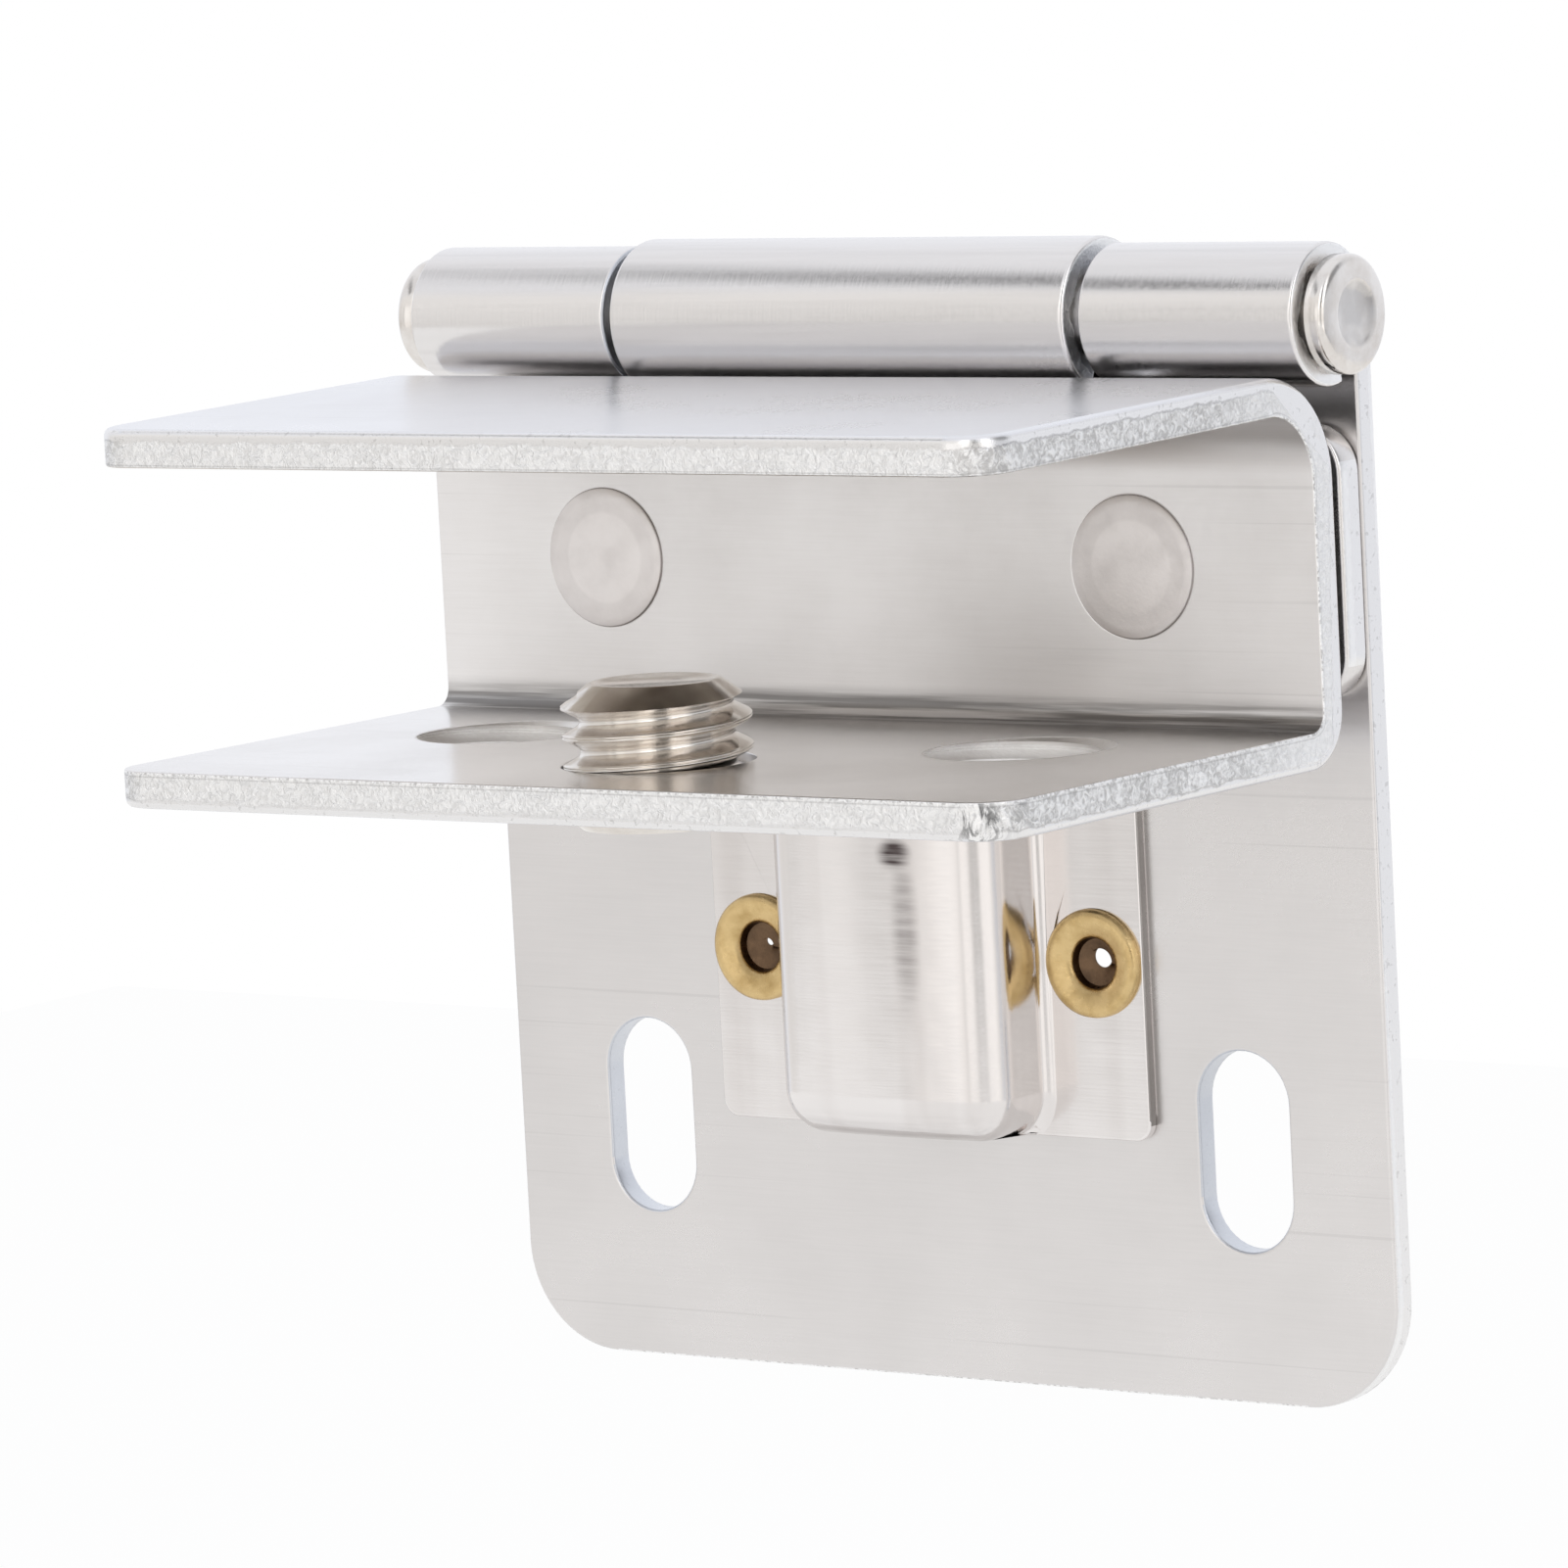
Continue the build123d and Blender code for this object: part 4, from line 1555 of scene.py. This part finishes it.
@dataclass
class ChannelRivets:
    """The two flush rivets that hold the channel to the leaf.

    The face gives points from the middle of a head out to its shallow step, as radius and height
    over the head's face.
    """

    finishes: Finishes
    head_mm: float = 6.1
    proud_mm: float = 0.10
    face_mm: tuple[Point, ...] = ((0.0, 0.02), (1.9, 0.02), (2.05, 0.005), (2.6, 0.0))
    rim_mm: float = 0.12
    rim_below_mm: float = 0.02
    rim_deg: float = 70.0
    side_mm: float = 0.15
    shank_radius_mm: float = 2.0
    taper_mm: float = 0.9
    # The rim and the ring outside the shallow step are darkened: painted shade, with dirt on the rim.
    shaded_rim_mm: float = 0.03
    ring_shade_from_mm: float = 2.0
    ring_shade: float = 0.12

    def model(self, name: str, centre: Vector, length: float) -> Piece:
        """Spins one rivet and marks the darkening round its rim: dirt and painted shade.

        Args:
            name: Its name.
            centre: The middle of its head, in the web's face.
            length: Its length behind the face, in millimetres.

        Returns:
            The rivet.
        """
        head, rim, proud = self.head_mm / 2, self.rim_mm, self.proud_mm
        shank, taper = self.shank_radius_mm, self.taper_mm
        profile = [(radius, proud + over) for radius, over in self.face_mm]
        profile += reversed(arc((head - rim, proud - rim - self.rim_below_mm), rim, 0, self.rim_deg, 4))
        profile += [(head, -self.side_mm), (shank, -taper), (shank, taper - length)]
        profile += [(head, -length), (0.0, -length)]
        rivet = spun(name, profile, centre, Vector((0, -1, 0)))

        def grime_and_shade(point: Vector) -> float:
            """Darkens the rim with dirt and painted shade, and paints a little shade outside the shallow
            step.

            Args:
                point: A point on the rivet.

            Returns:
                How dark it is.
            """
            radius = (point.xz - centre.xz).length / MM
            outside = self.ring_shade if radius > self.ring_shade_from_mm else 0.0
            return 1.0 if radius > head - self.shaded_rim_mm else outside

        mark_points(rivet, "grime_and_shade", grime_and_shade)
        smooth(rivet, 40.0)
        return rivet

    def build(self) -> None:
        """Models one rivet and copies it for the other side."""
        nodes = ("channel_rivet_left", "channel_rivet_right")
        boxes = [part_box(node) for node in nodes]
        left, right = (Vector(((low.x + high.x) / 2, low.y, (low.z + high.z) / 2)) for low, high in boxes)
        length = (boxes[0][1].y - boxes[0][0].y) / MM
        rivet = self.model(f"dressed_{nodes[0]}", left, length)
        pair = (rivet, moved_copy(rivet, f"dressed_{nodes[1]}", right - left))
        for piece, node in zip(pair, nodes):
            dress(piece, Body.DOOR, node, (self.finishes.rivet,))


@dataclass
class ClampScrew:
    """The set screw with its thread, flat point and socket."""

    finishes: Finishes
    thread: MetricThread
    point_mm: float = 5.5
    key_mm: float = 4.0
    socket_mm: float = 3.2
    dish_mm: float = 0.08
    stock_over_mm: float = 0.05
    cone_slope: float = 0.76
    heel_mm: Point = (0.65, 0.6)
    point_edge_mm: tuple[Point, ...] = ((0.05, 0.04), (-0.08, 0.0), (-0.3, 0.0))
    dish_inset_mm: float = 0.5
    spare_mm: float = 0.4
    # Shares of darkening: a brown stain with painted shade on the cone, and painted shade on the thread's
    # flanks.
    cone_stain_and_shade: float = 0.5
    flank_shade: float = 0.35
    cone_margin_mm: Point = (0.1, 0.05)
    flank_span: Span = (0.25, 0.9)

    def blank(self, centre: Vector, length: float, slope: float) -> Piece:
        """Turns the blank: a heel, the stock, a cone and a dished flat point.

        Args:
            centre: The middle of its lower end.
            length: Its length in millimetres.
            slope: The cone's height in millimetres.

        Returns:
            The blank.
        """
        stock, point = self.thread.crest_mm / 2 + self.stock_over_mm, self.point_mm / 2
        inset, rise = self.heel_mm
        profile = [(0.0, 0.0), (stock - inset, 0.0), (stock, rise), (stock, length - slope)]
        profile += [(point + out, length - down) for out, down in self.point_edge_mm]
        dish = length - self.dish_mm
        profile += [(point - self.dish_inset_mm, dish), (0.0, dish)]
        return spun("screw blank", profile, centre, Vector((0, 0, 1)))

    def socket(self, centre: Vector) -> Piece:
        """A hexagonal bar that sinks the socket.

        Args:
            centre: The middle of the screw's lower end.

        Returns:
            The bar.
        """
        bpy.ops.object.select_all(action="DESELECT")
        bpy.ops.mesh.primitive_cylinder_add(
            vertices=6,
            radius=self.key_mm / 2 / math.cos(math.radians(30)) * MM,
            depth=2 * self.socket_mm * MM,
            location=centre,
        )
        socket = bpy.context.object
        bpy.ops.object.transform_apply(location=True, rotation=True, scale=True)
        return socket

    def build(self) -> None:
        """Cuts the thread, trims it to the turned blank and sinks the socket."""
        low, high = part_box("clamp_screw")
        centre = Vector(((low.x + high.x) / 2, (low.y + high.y) / 2, low.z))
        spare, point = self.spare_mm * MM, self.point_mm / 2
        slope = (self.thread.crest_mm / 2 + self.stock_over_mm - point) * self.cone_slope
        blank = self.blank(centre, (high.z - low.z) / MM, slope)
        screw = self.thread.rod("dressed_clamp_screw", centre, low.z - spare, high.z + spare, 96)
        combine(screw, blank, Cut.TRIM)
        combine(screw, self.socket(centre), Cut.SINK)
        root, crest = self.thread.root_mm * MM, self.thread.crest_mm / 2 * MM
        inset, up = self.cone_margin_mm
        cone = high.z - (slope - up) * MM

        def stain_and_shade_share(spot: Vector) -> float:
            """Darkens the cone with a brown stain and painted shade, and the thread's flanks less, with
            painted shade.

            Args:
                spot: A point on the screw.

            Returns:
                How dark it is.
            """
            radius = (spot.xy - centre.xy).length
            if spot.z > cone and radius > (point - inset) * MM:
                return self.cone_stain_and_shade
            rise = (radius - root) / (crest - root)
            return self.flank_shade if self.flank_span[0] < rise < self.flank_span[1] else 0.0

        mark_points(screw, "stain_and_shade", stain_and_shade_share)
        smooth(screw, 28.0)
        dress(screw, Body.SCREW, "clamp_screw", (self.finishes.screw,))


@dataclass
class MagneticCatch:
    """The pressed cover, its two eyelets, and the magnet and poles inside.

    The roll gives points of an eyelet's head as the distance in from its edge and down from its
    crest. The throat gives points as the distance in from the bore's wall and down from the crest.
    """

    nodes: dict[str, Piece]
    finishes: Finishes
    edge_mm: float = 0.12
    end_face_mm: float = 0.05
    seat_mm: float = 1.7
    rise_mm: float = 0.45
    head_mm: float = 4.7
    head_edge_mm: Point = (0.08, 0.1)
    roll_mm: tuple[Point, ...] = ((0.05, 0.14), (0.18, 0.03), (0.34, 0.0), (0.55, 0.03))
    throat_mm: tuple[Point, ...] = ((-0.3, 0.17), (-0.1, 0.26), (0.0, 0.42), (0.08, 0.78))
    bore_mm: float = 2.2
    tube_mm: float = 3.0
    tube_from_mm: float = 0.5
    clinch_mm: float = 4.2
    clinch_edge_mm: Point = (0.1, 0.02)
    flare_mm: float = 0.3
    bore_margin_mm: float = 0.01
    lip_margin_mm: float = 0.02
    lips_mm: Span = (0.4, 0.9)
    lip_span_mm: Span = (0.98, 1.06)
    lip_root_mm: Point = (0.12, 0.92)
    lip_shift_mm: Point = (0.12, 0.2)
    below_lip_mm: Point = (0.08, 1.3)

    def __post_init__(self) -> None:
        """Finds how far out the cover's cut ends are."""
        self.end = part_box("catch_cover")[1].x - self.end_face_mm * MM

    def is_cover_end(self, centre: Vector, normal: Vector) -> bool:
        """Whether a face is the cut end of one of the cover's flanges."""
        return abs(normal.x) > FACING and abs(centre.x) > self.end

    def build(self) -> None:
        """Builds the whole catch."""
        cover = merged_copy(self.nodes["catch_cover"], "dressed_catch_cover")
        part_faces(cover, (self.is_cover_end,))
        soften_edges(cover, self.edge_mm)
        smooth(cover)
        finishes = self.finishes
        dress(cover, Body.PLATE, "catch_cover", (finishes.cover, finishes.cover_edge))
        for side, lip in zip(("left", "right"), self.lips_mm):
            self.eyelet(f"cover_eyelet_{side}", lip / 2)
        for node, finish in (
            ("catch_magnet", finishes.ferrite),
            ("pole_plate_front", finishes.pole),
            ("pole_plate_rear", finishes.pole),
        ):
            self.nodes[node].data.materials.clear()
            self.nodes[node].data.materials.append(finish)

    def eyelet_profile(self, lip: float) -> list[Point]:
        """Draws an eyelet from its clinched end over its head and down its bore.

        Args:
            lip: The lip's radius in millimetres.

        Returns:
            The closed profile, as radius and height over the plate's back.
        """
        head, bore, tube, clinch = (
            across / 2 for across in (self.head_mm, self.bore_mm, self.tube_mm, self.clinch_mm)
        )
        seat, crest = self.seat_mm, self.seat_mm + self.rise_mm
        inset, up = self.head_edge_mm
        edge, foot = self.clinch_edge_mm
        profile = [(clinch, foot), (tube, self.tube_from_mm), (tube, seat)]
        profile += [(head - inset, seat), (head, seat + up)]
        profile += [(head - out, crest - down) for out, down in self.roll_mm]
        profile += [(bore - out, crest - down) for out, down in self.throat_mm]
        profile += [(lip + self.lip_root_mm[0], crest - self.lip_root_mm[1])]
        profile += [(lip, crest - down) for down in self.lip_span_mm]
        profile += [(bore - self.below_lip_mm[0], crest - self.below_lip_mm[1])]
        profile += [(bore, self.flare_mm), (bore + self.flare_mm, 0.0)]
        return profile + [(clinch - edge, 0.0), (clinch, foot)]

    def eyelet(self, node: str, lip: float) -> None:
        """Spins one rolled eyelet, with a ragged lip part way down its bore.

        Args:
            node: The solid it stands for.
            lip: The lip's radius in millimetres.
        """
        low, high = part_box(node)
        centre = Vector(((low.x + high.x) / 2, high.y, (low.z + high.z) / 2))
        eyelet = spun(f"dressed_{node}", self.eyelet_profile(lip), centre, Vector((0, -1, 0)))
        for vertex in eyelet.data.vertices:
            if (vertex.co.xz - centre.xz).length < (lip + self.lip_margin_mm) * MM:
                vertex.co.x += self.lip_shift_mm[0] * MM
                vertex.co.z += self.lip_shift_mm[1] * MM

        def is_bore(middle: Vector, normal: Vector) -> bool:
            """Whether a face lines the bore."""
            radius = (middle.xz - centre.xz).length
            return radius < (self.bore_mm / 2 + self.bore_margin_mm) * MM and abs(normal.y) < 0.995

        # The bore's faces take the near-black brass: painted shade in the hole.
        part_faces(eyelet, (is_bore,))
        smooth(eyelet, 50.0)
        dress(eyelet, Body.PLATE, node, (self.finishes.brass, self.finishes.shaded_bore))


# ---------------------------------------------------------------------------------------------
# The studio
# ---------------------------------------------------------------------------------------------


@dataclass(frozen=True)
class Studio:
    """A white floor, a soft surround, one dark flag and a long lens.

    The surround's heights turn from straight up (0) to the glass side (90) and straight down (180),
    and its bearings from the glass side (0) to the right (90) and the left (-90). Each is in degrees,
    with its level of light.
    """

    target_mm: Place = (0.0, -11.3, 16.5)
    azimuth_deg: float = 36.52
    elevation_deg: float = 6.86
    roll_deg: float = -2.97
    distance_mm: float = 380.0
    lens_mm: float = 207.1
    sensor_mm: float = 36.0
    clip_m: Span = (0.01, 20.0)
    floor_mm: float = -60.0
    floor_size_mm: float = 700.0
    floor_colour: Colour = (0.85, 0.85, 0.85)
    floor_roughness: float = 0.9
    floor_glow: float = 0.92
    flag_ends_mm: tuple[Place, Place] = ((-54.0, -93.0, 126.5), (-122.0, -3.0, 164.5))
    flag_width_mm: float = 44.0
    flag_opacity: Span = (0.70, 0.22)
    flag_light: float = 0.05
    heights: tuple[Point, ...] = (
        (-180, 0.93), (-120, 0.93), (-95, 0.97), (-85, 1.00), (-45, 0.98),
        (-10, 0.95), (4, 0.94), (16, 0.90), (32, 0.90), (42, 0.94),
        (56, 0.95), (75, 0.92), (90, 0.88), (110, 0.86), (180, 0.93),
    )
    bearings: tuple[Point, ...] = (
        (-180, 1.0), (-60, 0.95), (-54, 0.90), (-46, 0.86), (-42, 1.12), (-39, 1.10), (-36, 0.84),
        (-31, 0.82), (-27, 1.34), (-6, 1.30), (6, 1.2), (13, 2.0), (27, 2.0), (37, 0.30),
        (52, 0.30), (60, 2.0), (80, 2.0), (92, 0.55), (101, 0.35), (128, 0.35), (140, 0.85), (180, 1.0),
    )
    tints: tuple[Colour, ...] = ((0.98, 1.0, 1.05), (0.99, 1.0, 1.035), (1.0, 0.985, 0.97))
    left_fade: Span = (0.2, 0.45)
    right_fade: Span = (0.6, 0.95)
    right_foot: tuple[float, float, float] = (0.16, 0.28, 0.35)

    def camera(self) -> None:
        """Places the camera by its bearing, height, roll and distance from the target."""
        azimuth, elevation = math.radians(self.azimuth_deg), math.radians(self.elevation_deg)
        level = math.cos(elevation)
        look = Vector((-math.sin(azimuth) * level, math.cos(azimuth) * level, -math.sin(elevation)))
        turn = Matrix.Rotation(math.radians(-self.roll_deg), 3, look)
        right = turn @ Vector((math.cos(azimuth), math.sin(azimuth), 0.0))
        up = right.cross(look)
        data = bpy.data.cameras.new("long lens")
        data.lens = self.lens_mm
        data.sensor_width = self.sensor_mm
        data.clip_start, data.clip_end = self.clip_m
        camera = placed("long lens", data)
        place = Vector(self.target_mm) * MM - look * self.distance_mm * MM
        camera.matrix_world = Matrix.Translation(place) @ Matrix((right, up, -look)).transposed().to_4x4()
        bpy.context.scene.camera = camera

    def floor(self) -> None:
        """Lays the white floor, which keeps a faint shadow."""
        bpy.ops.object.select_all(action="DESELECT")
        bpy.ops.mesh.primitive_plane_add(size=self.floor_size_mm * MM, location=(0, 0, self.floor_mm * MM))
        floor = bpy.context.object
        floor.name = "studio_floor"
        bench = MaterialBench("studio floor")
        rays = bench.tree.nodes.new("ShaderNodeLightPath").outputs
        seen = bench.math(Sum.LARGER, rays["Is Camera Ray"], rays["Is Glossy Ray"])
        seen = bench.math(Sum.LARGER, seen, rays["Is Transmission Ray"])
        bench.finish(PLAIN, self.floor_colour, self.floor_roughness)
        bench.blend(bench.times(seen, self.floor_glow), bench.shader.outputs["BSDF"], bench.glow(1.0))
        floor.data.materials.append(bench.material)

    def flag(self) -> None:
        """Hangs a soft-edged dark strip that only polished metal sees, thicker at its near end."""
        near, far = (Vector(end) * MM for end in self.flag_ends_mm)
        across = (far - near).cross((near + far) / 2).normalized() * self.flag_width_mm * MM / 2
        mesh = bpy.data.meshes.new("studio_flag")
        mesh.from_pydata([near - across, far - across, far + across, near + across], [], [(0, 1, 2, 3)])
        layer = mesh.uv_layers.new(name="strip")
        for loop, place in zip(layer.data, ((0, 0), (1, 0), (1, 1), (0, 1))):
            loop.uv = place
        flag = placed("studio_flag", mesh)
        bench = MaterialBench("studio flag", Coordinates.STRIP)
        length, width = bench.axes()[:2]
        soft = bench.spread(bench.away(width, 0.5), 0.05, 0.5, 1.0, 0.0, smooth=True)
        opaque = bench.times(soft, bench.spread(length, 0.25, 0.75, *self.flag_opacity))
        clear = bench.tree.nodes.new("ShaderNodeBsdfTransparent")
        bench.blend(opaque, clear.outputs["BSDF"], bench.glow(self.flag_light))
        mesh.materials.append(bench.material)
        flag.visible_camera = False
        flag.visible_diffuse = False
        flag.visible_shadow = False
        flag.visible_transmission = False

    def surround(self) -> None:
        """Sets the soft light: a white tent whose tone varies with height and with bearing."""
        world = bpy.data.worlds.new("soft surround")
        bpy.context.scene.world = world
        world.use_nodes = True
        bench = NodeBench(world.node_tree, Coordinates.SKY)
        x, y, z = bench.axes()
        forward = bench.times(y, -1.0)
        bearing = bench.math(Sum.ANGLE, x, forward)
        sky = bench.bands(bench.math(Sum.ANGLE, forward, z), self.heights, self.tints)
        ring = bench.bands(bearing, self.bearings, ((1.0, 1.0, 1.0),))
        steep = bench.math(Sum.SIZE, z)
        left = bench.spread(steep, *self.left_fade, 1.0, 0.0, smooth=True)
        right = bench.spread(steep, *self.right_fade, 1.0, 0.0, smooth=True)
        right = bench.times(right, bench.spread(steep, *self.right_foot, 1.0))
        side = bench.rise(bearing, 0.0, 0.1)
        low = bench.plus(bench.times(left, bench.rest_of(side)), bench.times(right, side))
        ring = bench.mix(low, (1.0, 1.0, 1.0), ring)
        product = bench.tree.nodes.new("ShaderNodeVectorMath")
        product.operation = "MULTIPLY"
        bench.link(sky, product.inputs[0])
        bench.link(ring, product.inputs[1])
        rays = bench.tree.nodes.new("ShaderNodeLightPath").outputs
        colour = bench.mix(rays["Is Camera Ray"], product.outputs["Vector"], (1.0, 1.0, 1.0))
        background = bench.tree.nodes["Background"]
        bench.link(colour, background.inputs["Color"])
        background.inputs["Strength"].default_value = 1.0

    def build(self) -> None:
        """Sets up the whole studio."""
        bpy.context.scene.view_settings.view_transform = "Standard"
        self.camera()
        self.floor()
        self.flag()
        self.surround()


def main() -> None:
    """Builds the dressed hinge."""
    logging.basicConfig(level=logging.INFO, format="%(name)s: %(message)s")
    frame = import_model()
    bpy.ops.object.select_all(action="DESELECT")
    nodes = frame["nodes"]
    finishes = Finishes()
    thread = MetricThread()
    MountingPlate(nodes, finishes).build()
    DoorLeaf(nodes, finishes).build()
    HingePin(finishes).build()
    GlassChannel(nodes, finishes, thread).build()
    ChannelRivets(finishes).build()
    ClampScrew(finishes, thread).build()
    MagneticCatch(nodes, finishes).build()
    Studio().build()


if __name__ == "__main__":
    main()
